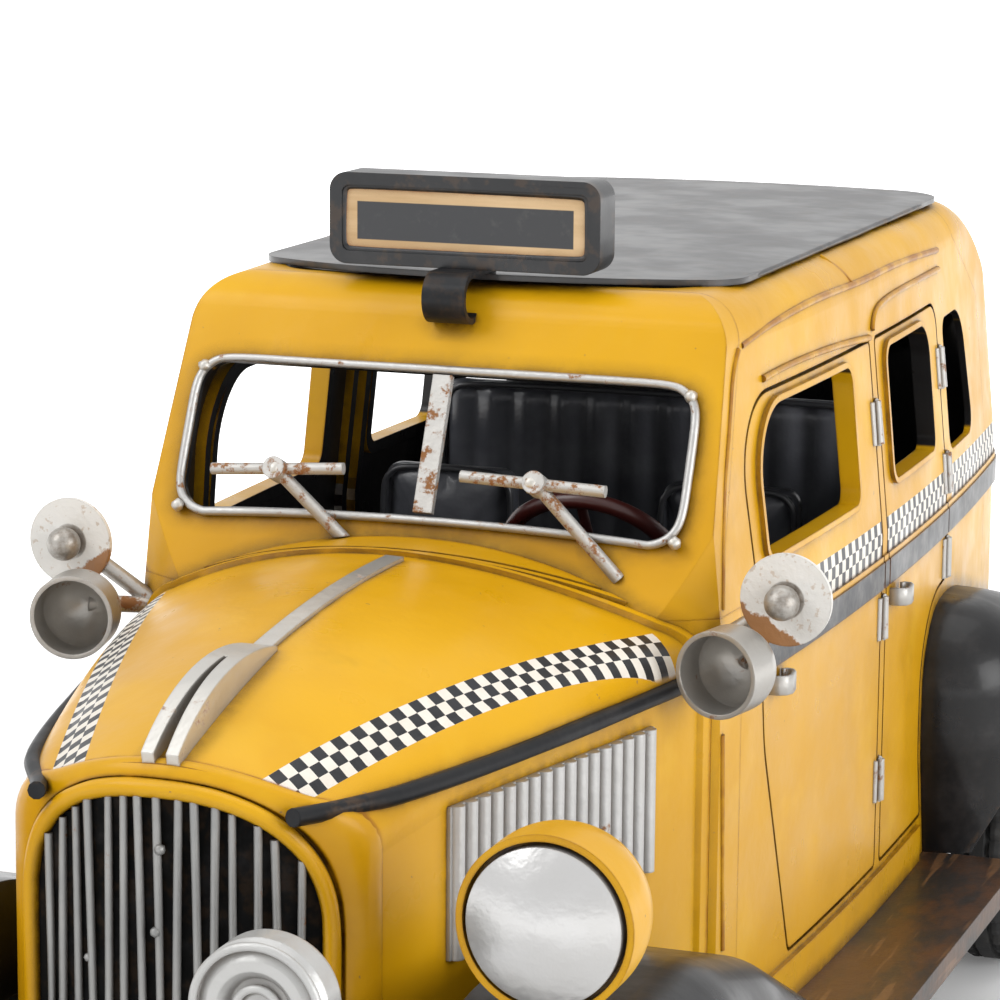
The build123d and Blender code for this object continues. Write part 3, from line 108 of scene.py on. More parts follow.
class Graph:
    """A new material's node tree, with short calls for the nodes used here."""

    def __init__(self, name):
        self.material = bpy.data.materials.new(name)
        self.material.use_nodes = True
        self.tree = self.material.node_tree
        self.shader = self.tree.nodes["Principled BSDF"]
        self.coords = self.tree.nodes.new("ShaderNodeTexCoord").outputs["Object"]

    def put(self, socket, value):
        """Link a socket to another, or set its value."""
        if isinstance(value, bpy.types.NodeSocket):
            self.tree.links.new(value, socket)
        elif value is not None:
            socket.default_value = value

    def node(self, kind, **inputs):
        """A node whose inputs are given by name, blanks as underscores."""
        node = self.tree.nodes.new("ShaderNode" + kind)
        for key, value in inputs.items():
            self.put(node.inputs[key.replace("_", " ")], value)
        return node

    def math(self, operation, a, b=None):
        """One sum over a value or two."""
        node = self.tree.nodes.new("ShaderNodeMath")
        node.operation = operation
        for socket, value in zip(node.inputs, (a, b)):
            self.put(socket, value)
        return node.outputs[0]

    def plus(self, a, b):
        """a plus b."""
        return self.math("ADD", a, b)

    def minus(self, a, b):
        """a less b."""
        return self.math("SUBTRACT", a, b)

    def times(self, a, b):
        """a times b."""
        return self.math("MULTIPLY", a, b)

    def far(self, a, b):
        """The length of the flat step (a, b)."""
        return self.math("SQRT", self.plus(self.times(a, a), self.times(b, b)))

    def noise(self, scale, detail=3.0, roughness=0.55, stretch=None, shift=0.0):
        """Noise from 0 to 1; scale in waves per metre."""
        place = self.node("Mapping", Vector=self.coords, Location=(shift, shift, shift))
        if stretch:
            place.inputs["Scale"].default_value = stretch
        texture = self.node("TexNoise", Vector=place.outputs[0], Scale=scale, Detail=detail,
                            Roughness=roughness)
        return texture.outputs["Fac"]

    def ramp(self, value, low, high, to_low=0.0, to_high=1.0):
        """value from low..high to to_low..to_high, eased and clamped."""
        node = self.tree.nodes.new("ShaderNodeMapRange")
        node.interpolation_type = "SMOOTHSTEP"
        for socket, number in zip(node.inputs, (value, low, high, to_low, to_high)):
            self.put(socket, number)
        return node.outputs[0]

    def mix(self, factor, a, b):
        """Colour a where factor is 0, colour b where it is 1."""
        node = self.tree.nodes.new("ShaderNodeMix")
        node.data_type = "RGBA"
        self.put(node.inputs[0], factor)
        self.put(node.inputs[6], (*a, 1) if isinstance(a, tuple) else a)
        self.put(node.inputs[7], (*b, 1) if isinstance(b, tuple) else b)
        return node.outputs[2]

    def axes(self):
        """The object coordinates X, Y and Z."""
        return self.node("SeparateXYZ", Vector=self.coords).outputs

    def facing(self):
        """The X, Y and Z of the way a face looks, in object coordinates."""
        normal = self.tree.nodes.new("ShaderNodeTexCoord").outputs["Normal"]
        return self.node("SeparateXYZ", Vector=normal).outputs

    def between(self, value, low, high, soft):
        """1 inside low..high, falling to 0 over soft on each side."""
        rise = self.ramp(value, low - soft, low + soft)
        fall = self.ramp(value, high - soft, high + soft, 1.0, 0.0)
        return self.times(rise, fall)

    def crease(self, reach, inside=False):
        """0 in the open, near 1 in creases, or on edges if inside."""
        node = self.tree.nodes.new("ShaderNodeAmbientOcclusion")
        node.samples = CREASE_RAYS
        node.inside = inside
        node.inputs["Distance"].default_value = reach
        return self.minus(1.0, node.outputs["AO"])

    def bump(self, height, strength, distance=0.0005):
        """A bump over softly rounded edges."""
        rounded = self.tree.nodes.new("ShaderNodeBevel")
        rounded.samples = EDGE_RAYS
        rounded.inputs["Radius"].default_value = EDGE_RADIUS
        node = self.node("Bump", Strength=strength, Distance=distance, Height=height)
        self.put(node.inputs["Normal"], rounded.outputs[0])
        return node.outputs[0]

    def finish(self, **inputs):
        """Set the Principled shader's sockets and return the material."""
        for key, value in inputs.items():
            if isinstance(value, tuple) and len(value) == 3:
                value = (*value, 1)
            self.put(self.shader.inputs[key.replace("_", " ")], value)
        return self.material


YELLOW = (0.75, 0.400, 0.005)
YELLOW_DEEP = (0.65, 0.330, 0.003)
YELLOW_PALE = (0.77, 0.440, 0.020)
# brown wash with painted shade for creases, and brown for edges that is partly painted shade
WASH_AND_SHADE = (0.045, 0.016, 0.004)
EDGE_WASH_AND_SHADE = (0.30, 0.095, 0.004)
INK = (0.012, 0.011, 0.011)
CAB_MIDDLE_Y = 0.05
BELT_STRIP = (84.0 * MM, 88.5 * MM)
RUST = (0.27, 0.115, 0.035)
CHIP = (0.30, 0.17, 0.07)
CREAM = (0.83, 0.78, 0.70)


def aged(graph, colour, reach, amount, wash_and_shade_colour=WASH_AND_SHADE, edge_wash_and_shade=0.8):
    """colour with brown wash and painted shade darkening its creases, brown edges that are partly painted
    shade, and thin smudges of dirt.
    """
    crease = graph.crease(reach)
    cloud = graph.noise(170, 4.0, 0.65)
    # painted shade: creases darkened towards brown wash in patches, where shade falls
    crease_shade = graph.times(graph.ramp(crease, 0.14, 0.48), graph.ramp(cloud, 0.25, 0.62, 0.45, 1.0))
    smudge = graph.times(graph.ramp(graph.noise(38, 4.0, 0.7, shift=0.3), 0.60, 0.78), 0.16)
    # brown along edges: partly dark seam lines, partly painted shade
    rim = graph.times(graph.ramp(graph.crease(0.8 * MM, True), 0.30, 0.62),
                      graph.ramp(graph.noise(140, 3.0, 0.6, shift=0.5), 0.30, 0.62, 0.2 * edge_wash_and_shade, edge_wash_and_shade))
    wash_and_shade = graph.times(graph.math("MAXIMUM", crease_shade, smudge), amount)
    return graph.mix(wash_and_shade, graph.mix(rim, colour, EDGE_WASH_AND_SHADE), wash_and_shade_colour)


def yellow_colour(graph):
    """Golden enamel, deeper and paler in clouds."""
    cloud = graph.noise(26, 2.0, 0.5)
    colour = graph.mix(graph.ramp(cloud, 0.35, 0.7), YELLOW_DEEP, YELLOW)
    pale = graph.ramp(graph.noise(60, 3.0, 0.6, shift=0.9), 0.52, 0.75, 0.0, 0.45)
    return graph.mix(pale, colour, YELLOW_PALE)


def blacked_inside(graph, colour):
    """Black paint on the faces that look into the cab, colour on the others."""
    facing = graph.facing()
    x, y, z = graph.axes()
    sideways = graph.times(facing[0], graph.math("SIGN", x))
    endways = graph.times(facing[1], graph.math("SIGN", graph.minus(y, CAB_MIDDLE_Y)))
    inward = graph.math("MINIMUM", sideways, endways)
    inward = graph.math("MINIMUM", inward, graph.times(facing[2], graph.ramp(z, 0.10, 0.11)))
    return graph.mix(graph.ramp(inward, -0.75, -0.55, 1.0, 0.0), colour, INK)


def tin_bump(graph, strength=0.5):
    """Hammered tin: long soft dents and the enamel's fine lumps."""
    dents = graph.noise(48, 1.0, 0.4, shift=0.2)
    lumps = graph.times(graph.noise(420, 2.0, 0.5), 0.10)
    return graph.bump(graph.plus(dents, lumps), strength, 0.0011)


def chips(graph, colour):
    """Small chips and specks through the paint."""
    speck = graph.ramp(graph.noise(480, 3.0, 0.7, shift=0.6), 0.725, 0.745)
    return graph.mix(graph.times(speck, 0.75), colour, CHIP)


def yellow_enamel(name, layers=None, shell=False, reach=3.0 * MM, edge_wash_and_shade=0.8):
    """The body's enamel; layers adds what is painted on it, and a shell is black inside."""
    graph = Graph(name)
    colour = yellow_colour(graph)
    if layers:
        colour = layers(graph, colour)
    # brown wash with painted shade in creases and along edges
    colour = aged(graph, colour, reach, 0.97, edge_wash_and_shade=edge_wash_and_shade)
    colour = chips(graph, colour)
    if shell:
        colour = blacked_inside(graph, colour)
    rough = graph.ramp(graph.noise(90, 3.0), 0.3, 0.7, 0.27, 0.42)
    return graph.finish(
        Base_Color=colour, Roughness=rough, Normal=tin_bump(graph), IOR=1.45, Specular_IOR_Level=0.25,
        Coat_Weight=0.10, Coat_Roughness=0.15,
    )


CELL = 2.0 * MM           # side of one chequer
BELT_LOW = 89.5 * MM
ROWS = 3
TAIL_CORNER = 26.0 * MM   # the belt turns round the tail's corners
TAIL_CENTRE = (17.1 * MM, 138.5 * MM)
BODY_BELT = (92.0 * MM, 400.0 * MM)   # from the rear door's edge right round the tail
BORDER = 0.04 * MM        # how soft a printed edge is
CELL_SHIFT = 0.013 * MM   # keeps cell borders off the mesh's own faces


def chequers(graph, colour, along, across, start, end, on_top=1.0):
    """Cream and black cells where across lies in the rows and along in start..end."""
    cells = graph.node("CombineXYZ", X=along, Y=across, Z=CELL_SHIFT)
    board = graph.node("TexChecker", Vector=cells.outputs[0], Scale=1 / CELL)
    worn = graph.ramp(graph.noise(300, 3.0, 0.7), 0.3, 0.7, 0.0, 0.25)
    cream = graph.mix(worn, CREAM, (0.66, 0.56, 0.43))
    ink = graph.mix(worn, (0.016, 0.017, 0.020), (0.06, 0.06, 0.065))
    printed = graph.mix(board.outputs["Fac"], cream, ink)
    inside = graph.times(graph.between(across, 0.0, ROWS * CELL, BORDER),
                         graph.between(along, start, end, BORDER))
    return graph.mix(graph.times(inside, on_top), colour, printed)


def belt_chequers(start, end):
    """The chequered belt on a door or side between two places along Y."""
    def layer(graph, colour):
        x, y, z = graph.axes()
        strip = graph.between(z, BELT_STRIP[0], BELT_STRIP[1], 0.06 * MM)
        worn = graph.ramp(graph.noise(240, 4.0, 0.65, shift=0.8), 0.40, 0.75)
        grey = graph.mix(worn, (0.030, 0.032, 0.036), (0.11, 0.105, 0.10))
        colour = graph.mix(strip, colour, grey)
        across = graph.minus(z, BELT_LOW)
        side = graph.math("ABSOLUTE", x)
        past_y = graph.math("MAXIMUM", graph.minus(y, TAIL_CENTRE[1]), 0.0)
        past_x = graph.math("MAXIMUM", graph.minus(side, TAIL_CENTRE[0]), 0.0)
        bend = graph.times(graph.math("ARCTAN2", past_y, past_x), TAIL_CORNER)
        along = graph.plus(graph.math("MINIMUM", y, TAIL_CENTRE[1]), bend)
        past_corner = graph.minus(TAIL_CENTRE[0], graph.math("MINIMUM", side, TAIL_CENTRE[0]))
        along = graph.plus(along, past_corner)
        return chequers(graph, colour, along, across, start, end)
    return layer


# the bonnet's chequers run along a slanting line on each side
HOOD_START = Vector((0.0122, -0.1397, 0.0909))
HOOD_END = Vector((0.0388, -0.0569, 0.0950))
HOOD_ROW = 1.72 / 2.0     # a row's width over a cell's length
HOOD_TILT = 1.06          # width on the sloping tin over width seen from above
HOOD_CELLS = 43
HOOD_NOSE_Y = -0.1412


def hood_chequers(graph, colour):
    """Three rows of chequers along both of the bonnet's shoulders."""
    x, y, _ = graph.axes()
    side = graph.math("ABSOLUTE", x)
    run = HOOD_END - HOOD_START
    length = math.hypot(run.x, run.y)
    ux, uy = run.x / length, run.y / length
    dx = graph.minus(side, HOOD_START.x)
    dy = graph.minus(y, HOOD_START.y)
    along = graph.plus(graph.times(dx, ux), graph.times(dy, uy))
    flat = graph.minus(graph.times(dx, uy), graph.times(dy, ux))
    across = graph.times(flat, HOOD_TILT / HOOD_ROW)
    upward = graph.ramp(graph.facing()[2], 0.15, 0.25)
    on_top = graph.times(upward, graph.ramp(y, HOOD_NOSE_Y, HOOD_NOSE_Y + 0.1 * MM))
    return chequers(graph, colour, along, across, 0.0, HOOD_CELLS * CELL, on_top)


def black_gloss(name, base, rough, brown, shine=0.5):
    """Black enamel, glossy, with rubbed brown edges."""
    graph = Graph(name)
    worn = graph.ramp(graph.noise(120, 4.0, 0.65), 0.45, 0.75, 0.0, 0.5)
    colour = graph.mix(worn, base, (0.035, 0.033, 0.034))
    edge = graph.times(graph.ramp(graph.crease(1.2 * MM, True), 0.35, 0.75),
                       graph.ramp(graph.noise(260, 3.0, 0.7), 0.48, 0.62))
    colour = graph.mix(graph.times(edge, brown), colour, (0.16, 0.085, 0.035))
    bump = tin_bump(graph, 0.35)
    roughness = graph.ramp(graph.noise(75, 3.0), 0.3, 0.7, rough, rough + 0.16)
    return graph.finish(
        Base_Color=colour, Roughness=roughness, Normal=bump, Specular_IOR_Level=shine,
        Coat_Weight=0.6 * shine - 0.06, Coat_Roughness=0.1,
    )


def silver_paint(name, base, rust, rust_scale, rough, metallic=0.75):
    """Silver paint over tin, rust breaking through in blots."""
    graph = Graph(name)
    blot = graph.noise(rust_scale, 5.0, 0.72, shift=0.4)
    broken = graph.ramp(blot, 0.66 - 0.3 * rust, 0.74 - 0.25 * rust)
    # grime with painted shade: darker brown and duller in creases
    grime_and_shade = graph.ramp(graph.crease(1.5 * MM), 0.35, 0.9, 0.0, 0.8)
    colour = graph.mix(graph.ramp(graph.noise(90, 2.0), 0.3, 0.7, 0.0, 0.35), base, (0.44, 0.43, 0.41))
    colour = graph.mix(broken, colour, RUST)
    colour = graph.mix(grime_and_shade, colour, (0.10, 0.055, 0.025))
    bare = graph.minus(1.0, graph.math("MAXIMUM", broken, grime_and_shade))
    shine = graph.times(bare, metallic)
    roughness = graph.ramp(broken, 0.0, 1.0, rough, 0.8)
    bump = graph.bump(graph.noise(330, 3.0, 0.6), 0.35, 0.0004)
    return graph.finish(Base_Color=colour, Metallic=shine, Roughness=roughness, Normal=bump)


DISC_ROOT = Vector((0.057, -0.053, 0.1005))   # the left mirror back's middle


def rusted_disc(name):
    """Cream-silver mirror backs, rusted through in a crescent at the lower inner edge."""
    graph = Graph(name)
    x, _, z = graph.axes()
    side = graph.minus(graph.math("ABSOLUTE", x), DISC_ROOT.x)
    rise = graph.minus(z, DISC_ROOT.z)
    ragged = graph.times(graph.minus(graph.noise(260, 4.0, 0.7), 0.5), 4.2 * MM)
    lean = graph.plus(graph.times(side, -0.55), graph.times(rise, -0.84))
    lean = graph.plus(lean, ragged)
    eaten = graph.ramp(lean, 3.9 * MM, 4.4 * MM)
    specks = graph.ramp(graph.noise(900, 2.0, 0.6, shift=0.2), 0.60, 0.70, 0.0, 0.55)
    colour = graph.mix(specks, (0.80, 0.78, 0.74), (0.50, 0.36, 0.24))
    colour = graph.mix(eaten, colour, (0.36, 0.17, 0.065))
    reach = graph.far(side, rise)
    knob = graph.ramp(reach, 2.6 * MM, 2.9 * MM, 1.0, 0.0)
    dull = graph.mix(graph.ramp(graph.noise(330, 4.0, 0.7), 0.4, 0.7), (0.40, 0.38, 0.35), (0.22, 0.19, 0.16))
    colour = graph.mix(knob, colour, dull)
    # grime with painted shade: darker brown in creases
    grime_and_shade = graph.ramp(graph.crease(1.2 * MM), 0.35, 0.9, 0.0, 0.7)
    colour = graph.mix(grime_and_shade, colour, (0.16, 0.09, 0.045))
    bump = graph.bump(graph.plus(graph.noise(900, 2.0), eaten), 0.4, 0.0003)
    shine = graph.times(knob, 0.6)
    return graph.finish(Base_Color=colour, Metallic=shine, Roughness=0.40, Normal=bump)


def rubber(name):
    """Matt black rubber with a dusty tread."""
    graph = Graph(name)
    dust = graph.ramp(graph.noise(200, 3.0, 0.6), 0.45, 0.75, 0.0, 0.6)
    colour = graph.mix(dust, (0.018, 0.018, 0.018), (0.05, 0.047, 0.043))
    bump = graph.bump(graph.noise(900, 2.0), 0.25, 0.0003)
    return graph.finish(Base_Color=colour, Roughness=0.78, Normal=bump)


def board_metal(name):
    """The running boards: black rubbed through to brown."""
    graph = Graph(name)
    rubbed = graph.ramp(graph.noise(60, 5.0, 0.7, stretch=(1.0, 0.35, 1.0)), 0.42, 0.6)
    colour = graph.mix(graph.times(rubbed, 0.85), (0.02, 0.018, 0.017), (0.10, 0.042, 0.014))
    streak = graph.ramp(graph.noise(400, 2.0, 0.6, stretch=(1.0, 0.08, 1.0), shift=0.7), 0.58, 0.66, 0.0, 0.5)
    colour = graph.mix(streak, colour, (0.24, 0.13, 0.06))
    bump = graph.bump(graph.noise(240, 4.0, 0.6), 0.5, 0.0004)
    return graph.finish(Base_Color=colour, Roughness=0.42, Normal=bump, Coat_Weight=0.15, Coat_Roughness=0.2)


def cream_board(name, field_low, field_high):
    """The blank sign: cream surround and a plain black field between two corners."""
    graph = Graph(name)
    x, _, z = graph.axes()
    field = graph.times(graph.between(x, field_low[0], field_high[0], 0.08 * MM),
                        graph.between(z, field_low[1], field_high[1], 0.08 * MM))
    grain = graph.noise(120, 4.0, 0.6, stretch=(0.25, 1.0, 2.4))
    cream = graph.mix(graph.ramp(grain, 0.3, 0.7), (0.70, 0.50, 0.28), (0.52, 0.34, 0.16))
    worn = graph.ramp(graph.noise(350, 3.0, 0.7), 0.55, 0.75, 0.0, 0.5)
    black = graph.mix(worn, (0.02, 0.022, 0.026), (0.06, 0.06, 0.06))
    colour = graph.mix(field, cream, black)
    # brown wash with painted shade in the board's creases and along its edges
    colour = aged(graph, colour, 1.6 * MM, 0.8, (0.05, 0.03, 0.015))
    bump = graph.bump(graph.noise(500, 3.0), 0.2, 0.0003)
    return graph.finish(Base_Color=colour, Roughness=0.42, Normal=bump, Coat_Weight=0.2, Coat_Roughness=0.2)


def leatherette(name):
    """Black seat cover with a soft sheen and fine grain."""
    graph = Graph(name)
    grain = graph.node("TexVoronoi", Vector=graph.coords, Scale=1300).outputs["Distance"]
    worn = graph.ramp(graph.noise(80, 3.0), 0.4, 0.7)
    colour = graph.mix(worn, (0.075, 0.078, 0.090), (0.125, 0.128, 0.142))
    bump = graph.bump(grain, 0.10, 0.0002)
    return graph.finish(Base_Color=colour, Roughness=0.30, Normal=bump, Coat_Weight=0.2, Coat_Roughness=0.2)


# ---------- what each node wears
SIGN_MIDDLE = Vector((0.6, 150.1)) * MM    # across and up
FIELD_HALF = Vector((17.4, 2.9)) * MM
looks = {}


def dress_nodes():
    """Give every carried-over CAD node its material."""
    body = yellow_enamel("yellow_body", belt_chequers(*BODY_BELT), True)
    field_low, field_high = SIGN_MIDDLE - FIELD_HALF, SIGN_MIDDLE + FIELD_HALF
    # silver_paint: colour, rust, its scale, roughness, metal; black_gloss: colour, roughness, brown, shine
    looks.update({
        "body_yellow": body,
        "seam_yellow": yellow_enamel("yellow_seam"),
        "flange_yellow": yellow_enamel("yellow_flange", reach=0.7 * MM, edge_wash_and_shade=0.12),
        "blob_silver": silver_paint("silver_solder", (0.55, 0.53, 0.49), 0.35, 300, 0.42),
        "bar_silver": silver_paint("silver_bar", (0.27, 0.27, 0.265), 0.08, 260, 0.38, 0.45),
        "hood_yellow": yellow_enamel("yellow_hood", hood_chequers),
        "lamp_yellow": yellow_enamel("yellow_lamp"),
        "roof_black": black_gloss("black_roof", (0.026, 0.026, 0.028), 0.30, 0.2),
        "fender_black": black_gloss("black_fender", (0.007, 0.007, 0.008), 0.26, 0.35, 0.3),
        "strip_black": black_gloss("black_strip", (0.009, 0.010, 0.012), 0.40, 0.30, 0.2),
        "frame_black": black_gloss("black_frame", (0.016, 0.015, 0.014), 0.45, 0.8),
        "inside_black": black_gloss("black_inside", (0.016, 0.012, 0.010), 0.5, 0.5, 0.3),
        "grille_black": black_gloss("black_grille", (0.003, 0.003, 0.003), 0.75, 0.1, 0.1),
        "sign_black": black_gloss("black_sign", (0.006, 0.007, 0.009), 0.24, 0.18, 0.4),
        "board_black": board_metal("board_metal"),
        "sign_cream": cream_board("sign_board", field_low, field_high),
        "silver_wire": silver_paint("silver_wire", (0.44, 0.435, 0.425), 0.22, 260, 0.34, 0.7),
        "silver_rusty": silver_paint("silver_rusty", (0.47, 0.46, 0.44), 0.48, 420, 0.42, 0.5),
        "silver_paint": silver_paint("silver_plain", (0.60, 0.58, 0.54), 0.16, 120, 0.36),
        "vent_silver": silver_paint("silver_vent", (0.52, 0.515, 0.505), 0.06, 160, 0.40, 0.4),
        "grille_silver": silver_paint("silver_grille", (0.42, 0.42, 0.42), 0.12, 260, 0.40, 0.6),
        "lens_silver": silver_paint("silver_lens", (0.56, 0.555, 0.55), -0.1, 130, 0.30, 0.65),
        "horn_silver": silver_paint("silver_horn", (0.52, 0.52, 0.51), 0.02, 130, 0.32, 0.3),
        "cup_grey": silver_paint("silver_cup", (0.46, 0.44, 0.41), 0.22, 160, 0.36),
        "disc_rusty": rusted_disc("disc_enamel"),
        "hinge_silver": silver_paint("silver_hinge", (0.46, 0.45, 0.43), 0.30, 300, 0.40, 0.5),
        "wheel_silver": silver_paint("silver_wheel", (0.58, 0.57, 0.54), 0.20, 140, 0.36),
        "wire_steel": silver_paint("steel_wire", (0.50, 0.49, 0.47), 0.30, 200, 0.35),
        "tail_red": black_gloss("red_tail", (0.30, 0.010, 0.008), 0.22, 0.3),
        "seat_black": leatherette("seat_cover"),
        "wheel_maroon": black_gloss("maroon_wheel", (0.060, 0.010, 0.008), 0.25, 0.3),
        "tyre": rubber("rubber_tyre"),
        "roof_rim": black_gloss("black_rim", (0.010, 0.010, 0.011), 0.30, 0.3, 0.4),
        "seat_piping": black_gloss("black_piping", (0.042, 0.043, 0.048), 0.30, 0.0),
    })
    slots = {part["node"]: part["material_slot"] for part in frame["record"]["subparts"]}
    for name, node in nodes.items():
        slot = slots[name]
        look = looks.get(slot)
        if name == "hood":
            look = looks["hood_yellow"]
        if slot == "door_yellow":
            low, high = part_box(name)
            look = yellow_enamel("yellow_" + name, belt_chequers(low[1], high[1]), True)
        for index in range(len(node.material_slots)):
            node.material_slots[index].material = look
        if not node.material_slots:
            node.data.materials.append(look)


# ---------- studio
FLOOR_HALF = 12.0
FLOOR_GLOW = (0.25, 0.60)   # the floor turns to plain white between these distances
WORLD_LIGHT = 0.60
LAMPS = [
    # name, place, aim, size, power
    ("key_left", (-0.9, -0.8, 1.2), (0, -0.02, 0.08), 0.9, 10.0),
    ("fill_right", (1.35, -0.4, 0.42), (0, 0.0, 0.08), 0.8, 10.0),
    ("top", (0.0, 0.1, 1.5), (0, 0.0, 0.1), 1.2, 6.0),
]


def make_floor():
    """A pale floor that keeps the object's shadow and turns to plain white far off."""
    mesh = bpy.data.meshes.new("floor")
    form = bmesh.new()
    bmesh.ops.create_grid(form, x_segments=1, y_segments=1, size=FLOOR_HALF)
    form.to_mesh(mesh)
    form.free()
    floor = bpy.data.objects.new("floor", mesh)
    bpy.context.scene.collection.objects.link(floor)
    graph = Graph("floor_pale")
    rays = graph.tree.nodes.new("ShaderNodeLightPath").outputs
    seen = graph.math("MAXIMUM", rays["Is Camera Ray"], rays["Is Glossy Ray"])
    seen = graph.math("MAXIMUM", seen, rays["Is Transmission Ray"])
    x, y, _ = graph.axes()
    glow = graph.ramp(graph.far(x, y), *FLOOR_GLOW, 0.10, 1.0)
    floor.data.materials.append(graph.finish(
        Base_Color=(0.93, 0.93, 0.93), Roughness=0.9, Emission_Color=(1.0, 1.0, 1.0),
        Emission_Strength=graph.times(seen, glow),
    ))


def make_world():
    """Soft light from all round, plain white where it is seen."""
    world = bpy.data.worlds.new("studio")
    bpy.context.scene.world = world
    world.use_nodes = True
    tree = world.node_tree
    rays = tree.nodes.new("ShaderNodeLightPath").outputs
    seen = rays["Is Camera Ray"]
    for ray in ("Is Glossy Ray", "Is Transmission Ray"):
        either = tree.nodes.new("ShaderNodeMath")
        either.operation = "MAXIMUM"
        tree.links.new(seen, either.inputs[0])
        tree.links.new(rays[ray], either.inputs[1])
        seen = either.outputs[0]
    strength = tree.nodes.new("ShaderNodeMapRange")
    strength.inputs["To Min"].default_value = WORLD_LIGHT
    strength.inputs["To Max"].default_value = 1.0
    tree.links.new(seen, strength.inputs["Value"])
    background = tree.nodes["Background"]
    background.inputs["Color"].default_value = (1, 1, 1, 1)
    tree.links.new(strength.outputs[0], background.inputs["Strength"])


def make_lamps():
    """Three large soft lamps."""
    for name, place, aim, size, power in LAMPS:
        data = bpy.data.lights.new(name, "AREA")
        data.shape = "RECTANGLE"
        data.size = data.size_y = size
        data.energy = power
        lamp = bpy.data.objects.new(name, data)
        lamp.location = place
        lamp.rotation_euler = (Vector(aim) - Vector(place)).to_track_quat("-Z", "Y").to_euler()
        bpy.context.scene.collection.objects.link(lamp)


# ---------- pieces
OUTSIDE_X = 90.0          # clear of the car's side
chance = random.Random(7)


def take_in(name, data, body, look, replaced=()):
    """A new piece of the model, riding on a body."""
    piece = bpy.data.objects.new(name, data)
    bpy.context.scene.collection.objects.link(piece)
    if not data.materials:
        data.materials.append(looks[look])
    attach(piece, body)
    if replaced:
        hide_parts(*replaced)
    return piece


def mesh_from(form, name, smooth=True):
    """A bmesh as a new mesh."""
    bmesh.ops.recalc_face_normals(form, faces=form.faces)
    mesh = bpy.data.meshes.new(name)
    form.to_mesh(mesh)
    form.free()
    for polygon in mesh.polygons:
        polygon.use_smooth = smooth
    return mesh


def join_rings(form, rings, closed=True):
    """Faces from each ring of points to the next, round the whole ring if closed."""
    for ring, following in zip(rings, rings[1:]):
        for index in range(len(ring) if closed else len(ring) - 1):
            after = (index + 1) % len(ring)
            form.faces.new((ring[index], ring[after], following[after], following[index]))


def bars(name, runs, radius, body, look, replaced=(), lumps=0.0, closed=False):
    """Round bars or beads along runs of points in millimetres."""
    data = bpy.data.curves.new(name, "CURVE")
    data.dimensions = "3D"
    data.bevel_depth = radius * MM
    data.bevel_resolution = 3
    data.resolution_u = 6
    data.use_fill_caps = True
    for run in runs:
        spline = data.splines.new("NURBS")
        spline.points.add(len(run) - 1)
        for point, place in zip(spline.points, run):
            point.co = (*(number * MM for number in place), 1)
            point.radius = 1 + lumps * chance.uniform(-1, 1)
        spline.order_u = min(4, len(run))
        spline.use_endpoint_u = not closed
        spline.use_cyclic_u = closed
    return take_in(name, data, body, look, replaced)


def skin_of(*names):
    """A search tree over the surfaces of CAD nodes."""
    corners, faces = [], []
    for name in names:
        mesh = nodes[name].data
        base = len(corners)
        corners.extend(vertex.co.copy() for vertex in mesh.vertices)
        faces.extend([base + index for index in polygon.vertices] for polygon in mesh.polygons)
    return BVHTree.FromPolygons(corners, faces)


def touch(skin, start, direction):
    """Where a ray, in millimetres, meets a skin, and the face's normal; None past its edge."""
    place, normal, _, _ = skin.ray_cast(Vector(start) * MM, Vector(direction).normalized())
    if place is None:
        return None
    return place / MM, normal


def side_touch(skin, hand, y, z):
    """Where a ray from straight out at the car's side meets a skin."""
    return touch(skin, (hand * OUTSIDE_X, y, z), (-hand, 0, 0))


def blobs(name, places, body, look):
    """Small lumps of solder: a place and a radius for each, in millimetres."""
    form = bmesh.new()
    for place, radius in places:
        turn = Matrix.Translation(Vector(place) * MM)
        made = bmesh.ops.create_icosphere(form, subdivisions=2, radius=radius * MM, matrix=turn)
        for vertex in made["verts"]:
            vertex.co += Vector([0.12 * radius * MM * chance.uniform(-1, 1) for _ in range(3)])
    return take_in(name, mesh_from(form, name), body, look)


# ---------- padded seats
PAD_SCALE = 10.0          # the cloth is worked ten times as large
PAD_CUTS = 47
SEAM_DEPTH = 1.5
SWELL = 1.0               # how far the cloth may move
CLOTH_FRAMES = 12
CLOTH_PRESSURE = 4.0
CLOTH_STIFFNESS = 12.0


def pad_mesh(name, size, corner, ribs):
    """A crowned cushion in metres, sewn across its top into ribs, puffed by cloth."""
    form = bmesh.new()
    bmesh.ops.create_cube(form, size=2.0)
    bmesh.ops.subdivide_edges(form, edges=form.edges, cuts=PAD_CUTS, use_grid_fill=True)
    half = Vector(size) / 2 * MM * PAD_SCALE
    corner = corner * MM * PAD_SCALE
    pinned = []
    for vertex in form.verts:
        unit = vertex.co.copy()
        wide = Vector((unit.x * half.x, unit.y * half.y, unit.z * half.z))
        kept = Vector([max(-h + corner, min(h - corner, value)) for value, h in zip(wide, half)])
        rest = wide - kept
        if rest.length > 0:
            wide = kept + rest * (corner / rest.length)
        place = (unit.x + 1) / 2 * ribs
        seam = abs(place - round(place)) < 0.45 * ribs / (PAD_CUTS + 1)
        top = unit.z > 0.99
        if top:
            wide.z -= (1 - abs(math.sin(math.pi * place)) ** 0.6) * SEAM_DEPTH * MM * PAD_SCALE
        if unit.z < 0.2 or (top and seam):
            pinned.append(vertex.index)
        vertex.co = wide
    mesh = mesh_from(form, name)
    mesh = puffed(name, mesh, pinned, SWELL * MM * PAD_SCALE)
    mesh.transform(Matrix.Scale(1 / PAD_SCALE, 4))
    return mesh


